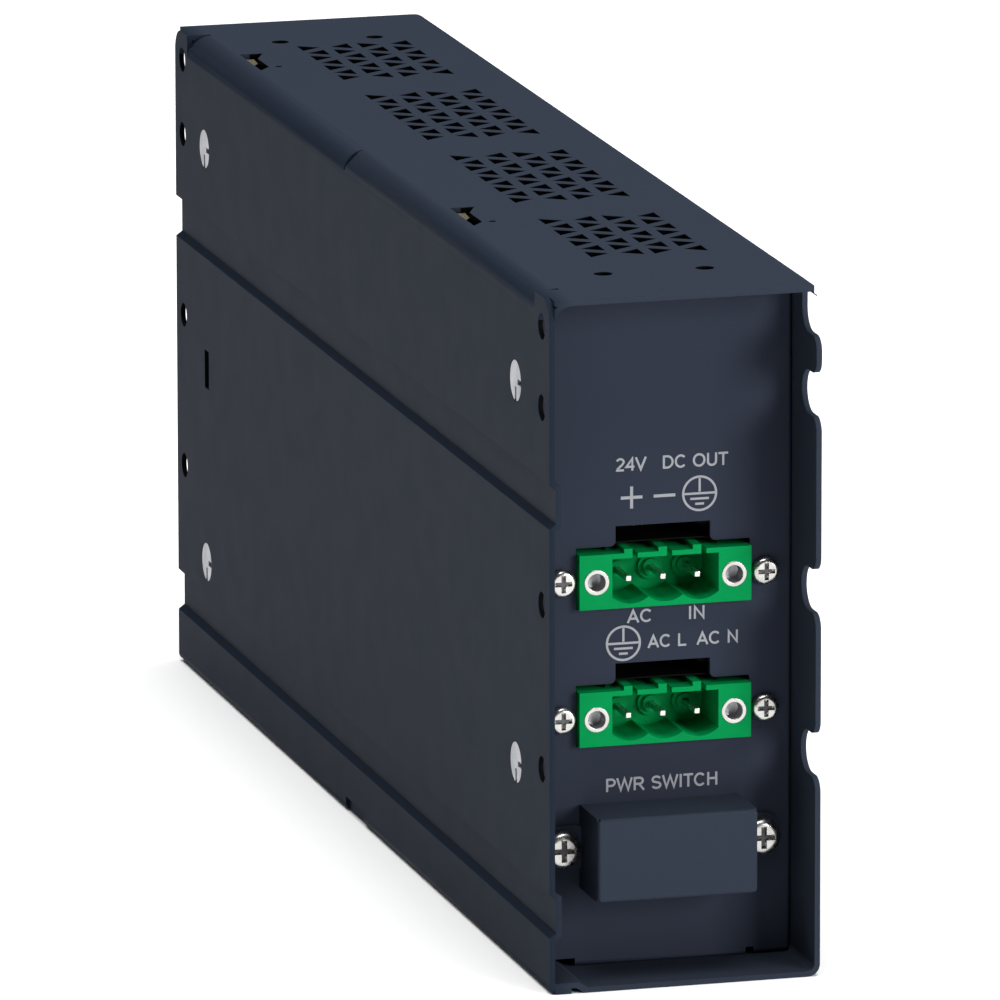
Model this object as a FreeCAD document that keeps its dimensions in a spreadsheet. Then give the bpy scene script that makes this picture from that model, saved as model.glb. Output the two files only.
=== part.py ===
import FreeCAD, Part
import math
import os
import re
import Sketcher

# Slim sheet-metal AC/DC power supply. Local frame while drawing: X runs right from the left face,
# Y runs back from the front edge, Z runs up from the underside. Every node is then placed so that
# the origin is the centre of the underside.

SIZES = {
    # folded sheet-metal housing
    "width": 40.0, "depth": 213.2, "height": 100.5, "gauge": 0.8,
    "bend_top_left": 3.5, "bend_top_right": 1.5, "bend_low_right": 1.8, "bend_low_left": 1.3,
    "channel_open": 6.4, "channel_floor": 5.0, "channel_depth": 0.95,
    "channel_upper": 70.85, "channel_lower": 11.45, "channel_spread": 0.4, "channel_play": 0.9,
    "flange_left": 3.2, "joggle_start": 3.9, "joggle_end": 5.2,
    "end_zone": 7.6, "relief_wide": 0.9, "relief_reach": 3.6, "relief_deep": 1.9,
    "corner_round": 3.5, "lid_corner": 1.5,
    "hook_round": 3.15, "hook_lip": 2.1,
    "bolt_hole": 1.9, "bolt_inset": 4.0, "bolt_inset_rear": 4.4,
    "bolt_one": 96.15, "bolt_two": 84.45, "bolt_three": 55.95, "bolt_four": 32.1,
    "slot_y": 194.55, "slot_z": 50.2, "slot_wide": 2.6, "slot_tall": 6.0,
    "lid_hole": 1.35, "lid_hole_pitch": 15.0, "lid_hole_front": 16.35, "lid_hole_run": 180.4,
    "vent_base": 4.1, "vent_high": 3.2, "vent_pitch": 4.03, "vent_row": 4.72,
    "vent_first_x": 14.05, "vent_first_y": 29.8, "short_group": 7, "long_group": 9, "group_gap": 16.05,
    "window_x": 3.9, "window_y": 53.8, "window_long": 13.2, "window_wide": 3.7, "window_neck": 1.9,
    "window_slope": 2.4, "window_straight": 9.2, "window_run": 121.6, "vane_dot": 0.55,
    "dot_offset": 3.4,
    "lance_y": 102.0, "lance_long": 10.2, "lance_cut": 2.5, "lance_fill": 2.6, "lance_mouth": 0.5,
    "dent_deep": 0.65, "dent_high": 1.9, "dent_fill": 1.5, "dent_slit": 0.35,
    # end panels
    "panel_y": 11.6, "panel_gap": 0.06, "panel_flange": 11.0, "panel_bend": 0.7,
    "lap_notch_wide": 7.0, "lap_notch_high": 2.05, "foot_notch": 7.6, "foot_notch_wide": 1.2,
    "foot_notch_high": 1.9, "rim_end": 3.0,
    "screw_inset": 17.8, "screw_front_top": 85.5, "screw_front_low": 29.85,
    "screw_rear_top": 84.7, "screw_rear_low": 19.65,
    "csk_head": 2.95, "csk_deep": 0.8, "csk_set": 0.05, "thread_m3": 1.45, "csk_long": 7.0,
    "cross_m3": 3.2, "cross_m3_wide": 0.8, "cross_m2": 2.5, "cross_m2_wide": 0.65,
    # pluggable headers
    "pole_pitch": 5.08, "header_long": 25.4, "header_high": 8.6, "header_deep": 12.0,
    "header_front": 10.2, "dc_axis": 57.15, "ac_axis": 37.15, "axis_up": 3.95,
    "cavity_long": 15.7, "cavity_top": 3.27, "cavity_low": 3.35, "cavity_arc": 4.1, "cavity_deep": 8.6,
    "ledge": 7.95, "key_left": 1.05, "key_right": 0.2, "key_slot": 0.75, "slot_deep": 5.0,
    "boss_ring": 1.8, "boss_core": 1.2, "boss_high": 1.2, "pin_side": 0.8, "pin_tip": 11.5,
    "pin_tail": 27.0, "nut_outer": 1.85, "nut_bore": 1.25, "nut_long": 8.0, "flange_pitch": 20.32,
    "header_hole_gap": 0.15, "latch_long": 14.0, "latch_high": 3.2, "latch_flare": 0.75,
    "side_screw_pitch": 30.0, "m2_head": 2.0, "m2_head_high": 1.3, "m2_thread": 0.95,
    "spacer_across": 2.1, "card_long": 35.4, "card_high": 14.0, "card_thick": 1.6,
    # guarded rocker switch
    "guard_mid": 19.5, "guard_axis": 18.5, "guard_long": 23.6, "guard_high": 12.2, "guard_out": 9.7,
    "guard_gauge": 0.8, "guard_fold": 0.45, "guard_relief": 0.45, "ear_tall": 6.2, "ear_long": 5.9,
    "ear_round": 2.4, "ear_bend": 0.25, "guard_screw_pitch": 29.6,
    "m3_head": 2.7, "m3_head_high": 1.9,
    "bezel_long": 15.0, "bezel_high": 9.4, "bezel_thick": 1.5, "barrel_long": 12.8, "barrel_high": 8.0,
    "barrel_deep": 10.5, "well_long": 11.4, "well_high": 6.4, "well_deep": 6.0,
    "rocker_long": 9.9, "rocker_high": 5.8, "pivot_in": 0.4, "pivot_pin": 0.9, "pivot_bore": 0.97,
    "pivot_reach": 0.55, "rocker_tilt": 12.0, "blade_wide": 4.8, "blade_thick": 0.8, "blade_long": 8.0,
    # inner chassis, boards and components
    "tray_x": 2.3, "tray_front": 24.0, "tray_long": 164.0, "tray_low": 4.0, "tray_high": 92.0,
    "board_x": 7.3, "board_front": 27.5, "board_long": 150.0, "board_low": 7.0, "board_high": 86.0,
    "board_thick": 1.6, "stand_inset": 5.0, "stand_across": 2.9, "film": 0.25,
    "deck": 8.9, "tab_rise": 2.4, "tab_reach": 4.6,
    "core_y": 84.0, "core_z": 30.0, "core_long": 35.0, "core_high": 34.0, "core_deep": 13.0,
    "leg": 11.0, "yoke": 5.0, "coil_over": 6.0,
    "bulk_y": 62.0, "bulk_z": 24.0, "bulk_round": 11.0, "bulk_tall": 26.5,
    "outcap_y": 152.0, "outcap_z": 22.0, "outcap_round": 5.0, "outcap_tall": 20.0, "outcap_pitch": 12.5,
    "choke_y": 44.0, "choke_z": 46.0, "choke_ring": 8.0, "choke_wire": 3.4,
    "film_cap_y": 34.0, "film_cap_z": 62.0, "film_cap_long": 18.0, "film_cap_wide": 8.0,
    "film_cap_tall": 15.0,
    "bridge_y": 62.0, "bridge_z": 42.0, "bridge_long": 15.0, "bridge_wide": 3.4, "bridge_tall": 18.0,
    "sink_long": 60.0, "sink_tall": 25.0, "sink_thick": 2.5, "sink_fin": 7.0, "sink_fins": 7,
    "sink_a_y": 52.0, "sink_b_y": 115.5, "sink_z": 80.0,
    "chip_wide": 10.2, "chip_tall": 15.5, "chip_thick": 4.5,
    "fuse_y": 29.5, "fuse_z": 22.0, "fuse_round": 2.6, "fuse_long": 20.0,
    "coil_y": 140.0, "coil_z": 60.0, "coil_ring": 8.5, "coil_wire": 3.6,
    "stud_y": 182.8, "stud_z": 62.0, "stud_round": 1.95, "stud_long": 12.0,
    "washer_round": 4.2, "washer_thick": 1.0, "nut_round": 3.9, "nut_thick": 3.2,
}

doc = FreeCAD.newDocument("power_supply")
sheet = doc.addObject("Spreadsheet::Sheet", "dims")
for row, (alias, value) in enumerate(SIZES.items(), start=1):
    sheet.set(f"A{row}", alias)
    sheet.set(f"B{row}", str(value))
    sheet.setAlias(f"B{row}", alias)
doc.recompute()

nodes = []


def formula(text):
    """A sheet expression from a formula written with the plain names of the sizes."""
    return re.sub(r"[a-z_]+[a-z_0-9]*", lambda m: f"dims.{m.group()}" if m.group() in SIZES else m.group(),
                  str(text))


def size(text):
    """The value of a formula written with the names of the sizes."""
    return float(sheet.evalExpression(formula(text)))


def bind(item, **cells):
    """Bind properties of an object to formulas; x, y and z stand for its placement."""
    places = {"x": "Placement.Base.x", "y": "Placement.Base.y", "z": "Placement.Base.z"}
    for name, text in cells.items():
        item.setExpression(places.get(name, name), formula(text))


def settle(item, x=0, y=0, z=0):
    """Place an object given in the local frame so that the origin is under the middle."""
    bind(item, x=f"({x}) - width / 2", y=f"({y}) - depth / 2", z=f"({z})")
    return item


def node(item, label):
    """Name an object as a sub-part of its own, which is exported under this label."""
    item.Label = label
    nodes.append(item)
    return item


# ---------------------------------------------------------------- Part primitives

AXES = {"x": FreeCAD.Rotation(FreeCAD.Vector(0, 1, 0), 90),
        "y": FreeCAD.Rotation(FreeCAD.Vector(1, 0, 0), -90),
        "z": FreeCAD.Rotation()}


def box(x, y, z, dx, dy, dz):
    item = doc.addObject("Part::Box", "block")
    bind(item, Length=dx, Width=dy, Height=dz)
    return settle(item, x, y, z)


def rod(axis, x, y, z, radius, length):
    item = doc.addObject("Part::Cylinder", "rod")
    item.Placement = FreeCAD.Placement(FreeCAD.Vector(), AXES[axis])
    bind(item, Radius=radius, Height=length)
    return settle(item, x, y, z)


def taper(axis, x, y, z, start, end, length):
    item = doc.addObject("Part::Cone", "taper")
    item.Placement = FreeCAD.Placement(FreeCAD.Vector(), AXES[axis])
    bind(item, Radius1=start, Radius2=end, Height=length)
    return settle(item, x, y, z)


def hexagon(axis, x, y, z, radius, length):
    item = doc.addObject("Part::Prism", "hexagon")
    item.Polygon = 6
    item.Placement = FreeCAD.Placement(FreeCAD.Vector(), AXES[axis])
    bind(item, Circumradius=radius, Height=length)
    return settle(item, x, y, z)


def ring(axis, x, y, z, radius, section):
    item = doc.addObject("Part::Torus", "ring")
    item.Placement = FreeCAD.Placement(FreeCAD.Vector(), AXES[axis])
    bind(item, Radius1=radius, Radius2=section)
    return settle(item, x, y, z)


def join(*items):
    whole = doc.addObject("Part::MultiFuse", "joined")
    whole.Shapes = list(items)
    return whole


def cut(base, *tools):
    result = doc.addObject("Part::Cut", "cut")
    result.Base = base
    result.Tool = tools[0] if len(tools) == 1 else join(*tools)
    return result


def group(*items):
    """Separate solids that share one node."""
    whole = doc.addObject("Part::Compound", "set")
    whole.Links = list(items)
    return whole


def soften(item, radius, keep=lambda edge: True):
    """Round the straight edges of a solid that pass a test."""
    doc.recompute()
    value = SIZES.get(radius, radius)
    rounded = doc.addObject("Part::Fillet", "soft")
    rounded.Base = item
    rounded.Edges = [(k, value, value) for k, edge in enumerate(item.Shape.Edges, start=1) if keep(edge)]
    return rounded


def runs_along(axis):
    """A test for straight edges that run along one axis."""
    def test(edge):
        if edge.Curve.TypeId != "Part::GeomLine":
            return False
        return abs(getattr(edge.Curve.Direction, axis)) > 0.99
    return test


# ---------------------------------------------------------------- PartDesign helpers

def new_body(label):
    body = doc.addObject("PartDesign::Body", label)
    settle(body)
    return node(body, label)


def draw(body, plane, offset=0):
    """A sketch on one of the body's origin planes, moved along the plane's normal."""
    sketch = body.newObject("Sketcher::SketchObject", "sketch")
    support = next(part for part in body.Origin.OriginFeatures if part.Role == plane)
    sketch.AttachmentSupport = [(support, "")]
    sketch.MapMode = "FlatFace"
    sketch.setExpression("AttachmentOffset.Base.z", formula(offset))
    return sketch


def fix(sketch, kind, geometry, point, text):
    """Hold a point of a sketch at a formula's distance from its origin."""
    index = sketch.addConstraint(Sketcher.Constraint(kind, -1, 1, geometry, point, 1.0))
    sketch.setExpression(f"Constraints[{index}]", formula(text))


def rectangle(sketch, x0, y0, x1, y1):
    corners = [(0, 0), (9, 0), (9, 9), (0, 9)]
    first = sketch.GeometryCount
    for (ax, ay), (bx, by) in zip(corners, corners[1:] + corners[:1]):
        sketch.addGeometry(Part.LineSegment(FreeCAD.Vector(ax, ay, 0), FreeCAD.Vector(bx, by, 0)))
    for k in range(4):
        sketch.addConstraint(Sketcher.Constraint("Coincident", first + k, 2, first + (k + 1) % 4, 1))
        sketch.addConstraint(Sketcher.Constraint(("Horizontal", "Vertical")[k % 2], first + k))
    fix(sketch, "DistanceX", first, 1, x0)
    fix(sketch, "DistanceY", first, 1, y0)
    fix(sketch, "DistanceX", first + 1, 2, x1)
    fix(sketch, "DistanceY", first + 1, 2, y1)


def circle(sketch, x, y, radius):
    index = sketch.addGeometry(Part.Circle(FreeCAD.Vector(1, 1, 0), FreeCAD.Vector(0, 0, 1), 1.0))
    fix(sketch, "DistanceX", index, 3, x)
    fix(sketch, "DistanceY", index, 3, y)
    held = sketch.addConstraint(Sketcher.Constraint("Radius", index, 1.0))
    sketch.setExpression(f"Constraints[{held}]", formula(radius))


def outline(sketch, points):
    """A closed outline of (x, y) corners; a point (mx, my, x, y) is reached by an arc through m."""
    ends = [FreeCAD.Vector(*point[-2:], 0) for point in points]
    for start, point, end in zip(ends[-1:] + ends[:-1], points, ends):
        if len(point) == 4:
            sketch.addGeometry(Part.Arc(start, FreeCAD.Vector(*point[:2], 0), end))
        else:
            sketch.addGeometry(Part.LineSegment(start, end))


def pad(body, sketch, length, reverse=False):
    feature = body.newObject("PartDesign::Pad", "pad")
    feature.Profile = sketch
    bind(feature, Length=length)
    feature.Reversed = reverse
    doc.recompute()
    return feature


def pocket(body, sketch, length, reverse=False):
    """Cut a sketch out of the body, and make sure that it removed something."""
    before = body.Shape.Volume
    feature = body.newObject("PartDesign::Pocket", "pocket")
    feature.Profile = sketch
    bind(feature, Length=length)
    feature.Reversed = reverse
    doc.recompute()
    if body.Shape.Volume >= before - 1e-6:
        raise RuntimeError(f"{body.Label}: {feature.Name} cut nothing")
    return feature


def round_edges(body, radius, keep):
    """Fillet the edges of the body's tip that pass a test."""
    tip = body.Tip
    names = [f"Edge{k}" for k, edge in enumerate(tip.Shape.Edges, start=1) if keep(edge)]
    feature = body.newObject("PartDesign::Fillet", "fillet")
    feature.Base = (tip, names)
    bind(feature, Radius=radius)
    doc.recompute()
    return feature


HALF_ARC = 1 - math.sqrt(0.5)


def corner_piece(sketch, x, y, sx, sy, radius):
    """The sliver between a square corner and its rounding; sx and sy point into the sheet."""
    mid = radius * HALF_ARC
    outline(sketch, [(x, y), (x + sx * radius, y), (x + sx * mid, y + sy * mid, x, y + sy * radius)])


# ---------------------------------------------------------------- housing

def longitudinal(x, z, reach):
    """A test for straight edges along the depth that lie near one corner of the section."""
    def test(edge):
        middle = edge.CenterOfMass
        return runs_along("y")(edge) and abs(middle.x - size(x)) < reach and abs(middle.z - size(z)) < reach
    return test


BOLT_HEIGHTS = ("bolt_one", "bolt_two", "bolt_three", "bolt_four")
SIDE_SCREWS = (("screw_inset", "screw_front_top"), ("screw_inset", "screw_front_low"),
               ("depth - screw_inset", "screw_rear_top"), ("depth - screw_inset", "screw_rear_low"))


def wrap(body):
    """The folded section: both walls, the lid and the floor, from one sheet."""
    sketch = draw(body, "XZ_Plane")
    rectangle(sketch, 0, 0, "width", "height")
    pad(body, sketch, "depth", reverse=True)
    sketch = draw(body, "XZ_Plane", "1")
    rectangle(sketch, "gauge", "gauge", "width - gauge", "height - gauge")
    pocket(body, sketch, "depth + 2")
    inside = (("bend_top_left", "gauge", "height - gauge"),
              ("bend_top_right", "width - gauge", "height - gauge"),
              ("bend_low_right", "width - gauge", "gauge"), ("bend_low_left", "gauge", "gauge"))
    for radius, x, z in inside:
        round_edges(body, f"{radius} - gauge", longitudinal(x, z, 0.01))
    outside = (("bend_top_left", 0, "height"), ("bend_top_right", "width", "height"),
               ("bend_low_right", "width", 0), ("bend_low_left", 0, 0))
    for radius, x, z in outside:
        round_edges(body, radius, longitudinal(x, z, 0.01))


def channels(body):
    """Two channels pressed inwards along the left wall, of even sheet thickness."""
    spread = size("channel_spread")
    for mid in ("channel_lower", "channel_upper"):
        for face, grow, action in (("gauge", spread, pad), ("0", 0, pocket)):
            z, wide, narrow = size(mid), size("channel_open") / 2 + grow, size("channel_floor") / 2 + grow
            x = size(face) - (0.2 if face == "gauge" else 0)
            sketch = draw(body, "XZ_Plane")
            outline(sketch, [(x, z - wide), (size(face) + size("channel_depth"), z - narrow),
                             (size(face) + size("channel_depth"), z + narrow), (x, z + wide)])
            action(body, sketch, "depth", reverse=(action is pad))


def floor_lap(body):
    """The floor steps up by one gauge over the left wall's bottom flange."""
    gauge = size("gauge")
    lap = draw(body, "XZ_Plane")
    outline(lap, [(gauge - 0.1, gauge - 0.1), (size("joggle_end + 0.4"), gauge - 0.1),
                  (size("joggle_end + 0.4"), gauge), (size("joggle_start + 0.4"), 2 * gauge),
                  (gauge - 0.1, 2 * gauge)])
    pad(body, lap, "depth", reverse=True)
    under = draw(body, "XZ_Plane")
    outline(under, [(size("flange_left"), -gauge), (size("joggle_end"), -gauge), (size("joggle_end"), 0),
                    (size("joggle_start"), gauge), (size("flange_left"), gauge)])
    pocket(body, under, "depth")


def end_corners(body):
    """At both ends the top-left bend gives way to a square welded corner behind a relief slot."""
    high, long, zone, gauge = (size(name) for name in ("height", "depth", "end_zone", "gauge"))
    bend, turn = size("bend_top_left"), size("corner_round")
    for end, sign in ((0, 1), (long, -1)):
        wall = draw(body, "YZ_Plane", 0)
        mid = turn * HALF_ARC
        outline(wall, [(end, high - bend - 1), (end, high - turn),
                       (end + sign * mid, high - mid, end + sign * turn, high),
                       (end + sign * zone, high), (end + sign * zone, high - bend - 1)])
        pad(body, wall, "gauge")
        lid = draw(body, "XY_Plane", "height - gauge")
        outline(lid, [(gauge - 0.1, end), (bend + 1, end), (bend + 1, end + sign * zone),
                      (gauge - 0.1, end + sign * zone)])
        pad(body, lid, "gauge")
        relief = draw(body, "XY_Plane", "height + 1")
        y = end + sign * zone
        rectangle(relief, -1, min(y, y + sign * size("relief_wide")), "relief_reach",
                  max(y, y + sign * size("relief_wide")))
        pocket(body, relief, "relief_deep + 1")
        trim = draw(body, "YZ_Plane", "gauge + 0.01")
        corner_piece(trim, end, high, sign, -1, turn)
        corner_piece(trim, end, 0, sign, 1, 1.0)
        pocket(body, trim, "gauge + 1")


def hook_notches(body):
    """U-shaped notches in the right wall's front and rear edges, opposite the bolt holes."""
    turn, lip = size("hook_round"), size("hook_lip")
    for end, sign, deep in ((0, 1, size("bolt_inset")), (size("depth"), -1, size("bolt_inset_rear"))):
        sketch = draw(body, "YZ_Plane", "width + 1")
        mouth, start, centre = end - sign, end + sign * lip, end + sign * deep
        bow = end + sign * lip * HALF_ARC
        for bolt in BOLT_HEIGHTS:
            z = size(bolt)
            low = [(mouth, z - turn - lip), (end, z - turn - lip),
                   (bow, z - turn - lip * HALF_ARC, start, z - turn), (centre, z - turn)]
            if bolt == "bolt_one":
                high = size("height") + 1
                turned = centre + sign * turn * math.sqrt(0.5)
                outline(sketch, low + [(turned, z - turn * math.sqrt(0.5), centre + sign * turn, z),
                                       (centre + sign * turn, high), (mouth, high)])
            else:
                outline(sketch, low + [(centre + sign * turn, z, centre, z + turn), (start, z + turn),
                                       (bow, z + turn + lip * HALF_ARC, end, z + turn + lip),
                                       (mouth, z + turn + lip)])
        pocket(body, sketch, "gauge + 1")
        lid = draw(body, "XY_Plane", "height + 1")
        corner_piece(lid, size("width - gauge"), end, -1, sign, size("lid_corner"))
        pocket(body, lid, "gauge + 1.5")


def wall_holes(body):
    """Bolt holes, countersunk holes and the slot in the left wall."""
    sketch = draw(body, "YZ_Plane", "gauge + 0.2")
    for z in BOLT_HEIGHTS:
        for y in ("bolt_inset", "depth - bolt_inset_rear"):
            circle(sketch, y, z, "bolt_hole")
    for y, z in SIDE_SCREWS:
        circle(sketch, y, z, "csk_head + 0.05")
    rectangle(sketch, "slot_y - slot_wide / 2", "slot_z - slot_tall / 2",
              "slot_y + slot_wide / 2", "slot_z + slot_tall / 2")
    pocket(body, sketch, "gauge + 1")


def lances(body):
    """Half-way along the left edge, a flat pressed into the top bend and a dent over the foot."""
    start, end = "lance_y", "lance_y + lance_long"
    high, flat = size("height"), size("lance_cut")
    fill = draw(body, "XZ_Plane", f"-({start})")
    rectangle(fill, "gauge - 0.05", "height - gauge - lance_fill", "gauge + lance_fill",
              "height - gauge + 0.05")
    pad(body, fill, "lance_long", reverse=True)
    press = draw(body, "XZ_Plane", f"-({start})")
    outline(press, [(-1, high - flat - 1), (flat + 1, high + 1), (-1, high + 1)])
    pocket(body, press, "lance_long")
    mouth = draw(body, "XZ_Plane", f"-({end} - lance_mouth)")
    reach = flat + size("lance_mouth")
    outline(mouth, [(-1, high - reach - 1), (reach + 1, high + 1), (-1, high + 1)])
    pocket(body, mouth, "lance_mouth")
    lining = draw(body, "XZ_Plane", f"-({start} - 0.4)")
    rectangle(lining, "gauge - 0.05", "gauge - 0.05", "dent_fill", "dent_high + 0.1")
    pad(body, lining, "lance_long + 0.8", reverse=True)
    dent = draw(body, "XZ_Plane", f"-({start})")
    rectangle(dent, -1, -1, "dent_deep", "dent_high")
    pocket(body, dent, "lance_long")
    slit = draw(body, "XZ_Plane", f"-({start} + 0.6)")
    rectangle(slit, -1, "dent_high", "gauge + 0.7", "dent_high + dent_slit")
    pocket(body, slit, "lance_long - 0.6")


def triangle(sketch, x, y, points_right):
    """One triangular vent, based on the left or the right side of its row."""
    base, tip = (x, x + size("vent_high")) if points_right else (x + size("vent_high"), x)
    half = size("vent_base") / 2
    outline(sketch, [(base, y - half), (base, y + half), (tip, y)])


def lid_openings(body):
    """Four groups of triangular vents through lid and floor, tab windows and four small holes."""
    groups = []
    y = size("vent_first_y")
    for count in ("short_group", "long_group", "long_group", "short_group"):
        groups.append((y, int(size(count))))
        y += size(f"({count} - 1) * vent_pitch + group_gap")
    for first, count in groups:
        sketch = draw(body, "XY_Plane", "height + 1")
        for row in range(4):
            for k in range(count):
                triangle(sketch, size(f"vent_first_x + {row} * vent_row"),
                         first + k * size("vent_pitch"), (row + k) % 2 == 0)
        pocket(body, sketch, "height + 2")
    sketch = draw(body, "XY_Plane", "height + 1")
    for x in ("width / 2 - lid_hole_pitch / 2", "width / 2 + lid_hole_pitch / 2"):
        for y in ("lid_hole_front", "lid_hole_front + lid_hole_run"):
            circle(sketch, x, y, "lid_hole")
    pocket(body, sketch, "gauge + 2")
    sketch = draw(body, "XY_Plane", "height + 1")
    for shift in (0, size("window_run")):
        x, y = size("window_x"), size("window_y") + shift
        long, wide, neck = size("window_long"), size("window_wide"), size("window_neck")
        outline(sketch, [(x, y), (x + neck, y + size("window_slope")),
                         (x + neck, y + size("window_straight")),
                         (x + wide, y + long), (x, y + long)])
        circle(sketch, x + size("dot_offset"), y + size("window_slope"), "vane_dot")
    pocket(body, sketch, "gauge + 2")


def make_housing():
    body = new_body("housing")
    wrap(body)
    channels(body)
    floor_lap(body)
    end_corners(body)
    hook_notches(body)
    wall_holes(body)
    lances(body)
    lid_openings(body)


# ---------------------------------------------------------------- end panels

PANEL_SPAN = "width - 2 * gauge - 2 * panel_gap"


def make_panel(label, front):
    """A plate set back from the housing's edge, with its rims bent away from the opening."""
    body = new_body(label)
    edge = "(gauge + panel_gap)"
    plate_y = "panel_y" if front else "depth - panel_y - gauge"
    rim_y = "panel_y" if front else "depth - panel_y - panel_flange"
    sketch = draw(body, "XZ_Plane", f"-({plate_y})")
    rectangle(sketch, edge, edge, f"width - {edge}", f"height - {edge}")
    pad(body, sketch, "gauge", reverse=True)
    rims = ((edge, "rim_end", f"{edge} + gauge", f"height - {edge} - rim_end"),
            (f"width - {edge} - gauge", "rim_end", f"width - {edge}", f"height - {edge} - rim_end"),
            ("lap_notch_wide", edge, "width - foot_notch", f"{edge} + gauge"),
            ("rim_end + 1", f"height - {edge} - gauge", "width - rim_end - 1", f"height - {edge}"))
    for x0, z0, x1, z1 in rims:
        rim = draw(body, "XZ_Plane", f"-({rim_y})")
        rectangle(rim, x0, z0, x1, z1)
        pad(body, rim, "panel_flange", reverse=True)
    face = plate_y if front else f"{plate_y} + gauge"
    round_edges(body, "panel_bend", lambda e: abs(e.CenterOfMass.y - size(face)) < 0.01 and e.Length > 20
                and not runs_along("y")(e))
    clear = draw(body, "XZ_Plane", f"-({rim_y}) + 1")
    clear_half = "(channel_open / 2 + channel_play)"
    for mid in ("channel_lower", "channel_upper"):
        rectangle(clear, "0", f"{mid} - {clear_half}", f"{edge} + channel_depth + 0.15",
                  f"{mid} + {clear_half}")
    pocket(body, clear, "panel_flange + 2")
    notches = draw(body, "XZ_Plane", f"-({rim_y}) + 1")
    rectangle(notches, "0", "0", "lap_notch_wide", "lap_notch_high")
    rectangle(notches, "width - foot_notch", "0", "width - foot_notch + foot_notch_wide", "foot_notch_high")
    pocket(body, notches, "panel_flange + 2")
    corners = draw(body, "XZ_Plane", f"-({rim_y}) + 1")
    near, right, top = size(edge), size(f"width - {edge}"), size(f"height - {edge}")
    corner_piece(corners, near, top, 1, -1, size("bend_top_left"))
    corner_piece(corners, right, top, -1, -1, size("bend_top_right"))
    corner_piece(corners, right, near, -1, 1, size("bend_low_right"))
    pocket(body, corners, "panel_flange + 2")
    holes = draw(body, "YZ_Plane", "4")
    for y, z in SIDE_SCREWS[:2] if front else SIDE_SCREWS[2:]:
        circle(holes, y, z, "thread_m3")
    pocket(body, holes, "4")
    return body


def cut_header_openings(body):
    """The opening for each header, with the higher bay that takes the plug's latch."""
    gap = size("header_hole_gap")
    mid, half = size("width / 2"), size("header_long / 2") + gap
    bay, flare = size("latch_long / 2"), size("latch_flare")
    for axis in ("dc_axis", "ac_axis"):
        low = size(f"{axis} - axis_up") - gap
        high = low + size("header_high") + 2 * gap
        top = low + size("header_high + latch_high")
        sketch = draw(body, "XZ_Plane", "-(panel_y - 1)")
        curve = flare * HALF_ARC
        outline(sketch, [(mid - half, low), (mid + half, low), (mid + half, high), (mid + bay + flare, high),
                         (mid + bay + curve, high + curve, mid + bay, high + flare),
                         (mid + bay, top), (mid - bay, top), (mid - bay, high + flare),
                         (mid - bay - curve, high + curve, mid - bay - flare, high), (mid - half, high)])
        pocket(body, sketch, "gauge + 2")


def make_front_panel():
    body = make_panel("front_panel", True)
    cut_header_openings(body)
    sketch = draw(body, "XZ_Plane", "-(panel_y - 1)")
    for x, z in header_screw_places():
        circle(sketch, x, z, "m2_thread + 0.1")
    for x in guard_screw_places():
        circle(sketch, x, "guard_axis", "thread_m3")
    rectangle(sketch, "guard_mid - barrel_long / 2 - 0.1", "guard_axis - barrel_high / 2 - 0.1",
              "guard_mid + barrel_long / 2 + 0.1", "guard_axis + barrel_high / 2 + 0.1")
    pocket(body, sketch, "gauge + 2")


def header_screw_places():
    return [(f"width / 2 {side} side_screw_pitch / 2", axis)
            for axis in ("dc_axis", "ac_axis") for side in "-+"]


def guard_screw_places():
    return [f"guard_mid {side} guard_screw_pitch / 2" for side in "-+"]


# ---------------------------------------------------------------- fasteners

def cross_recess(axis, x, y, z, long, wide, deep):
    """The cross in a screw's head: two bars that start at the given point and run along the axis."""
    arms = []
    for tall, broad in ((long, wide), (wide, long)):
        if axis == "x":
            arms.append(box(x, f"{y} - {broad} / 2", f"{z} - {tall} / 2", deep, broad, tall))
        else:
            arms.append(box(f"{x} - {broad} / 2", y, f"{z} - {tall} / 2", broad, deep, tall))
    return arms


def pan_screw(x, seat, z, kind, long):
    """A pan-head screw driven along +Y, with its head in front of the seat."""
    head, high, thread = f"{kind}_head", f"{kind}_head_high", {"m2": "m2_thread", "m3": "thread_m3"}[kind]
    disc = soften(rod("y", x, f"{seat} - {high}", z, head, high), SIZES[high] * 0.55,
                  lambda e: abs(e.CenterOfMass.y - size(f"{seat} - {high} - depth / 2")) < 0.01)
    shank = rod("y", x, seat, z, thread, long)
    recess = cross_recess("y", x, f"{seat} - {high} - 0.1", z, f"cross_{kind}", f"cross_{kind}_wide",
                          f"{high} * 0.65 + 0.1")
    return cut(join(disc, shank), *recess)


def make_side_screws():
    screws = []
    for y, z in SIDE_SCREWS:
        cone = taper("x", "csk_set", y, z, "csk_head", "thread_m3", "csk_deep")
        shank = rod("x", "csk_set + csk_deep", y, z, "thread_m3", "csk_long - csk_deep")
        screws.append(cut(join(cone, shank),
                          *cross_recess("x", "0", y, z, "cross_m3 - 0.6", "cross_m3_wide", "1.1")))
    node(group(*screws), "side_screws")


def make_header_screws():
    screws = [pan_screw(x, "panel_y", z, "m2", 4.5)
              for x, z in header_screw_places()]
    node(group(*screws), "header_screws")


def make_guard_screws():
    screws = [pan_screw(x, "panel_y - guard_gauge", "guard_axis", "m3", 5.5)
              for x in guard_screw_places()]
    node(group(*screws), "switch_guard_screws")


# ---------------------------------------------------------------- pluggable headers

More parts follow.
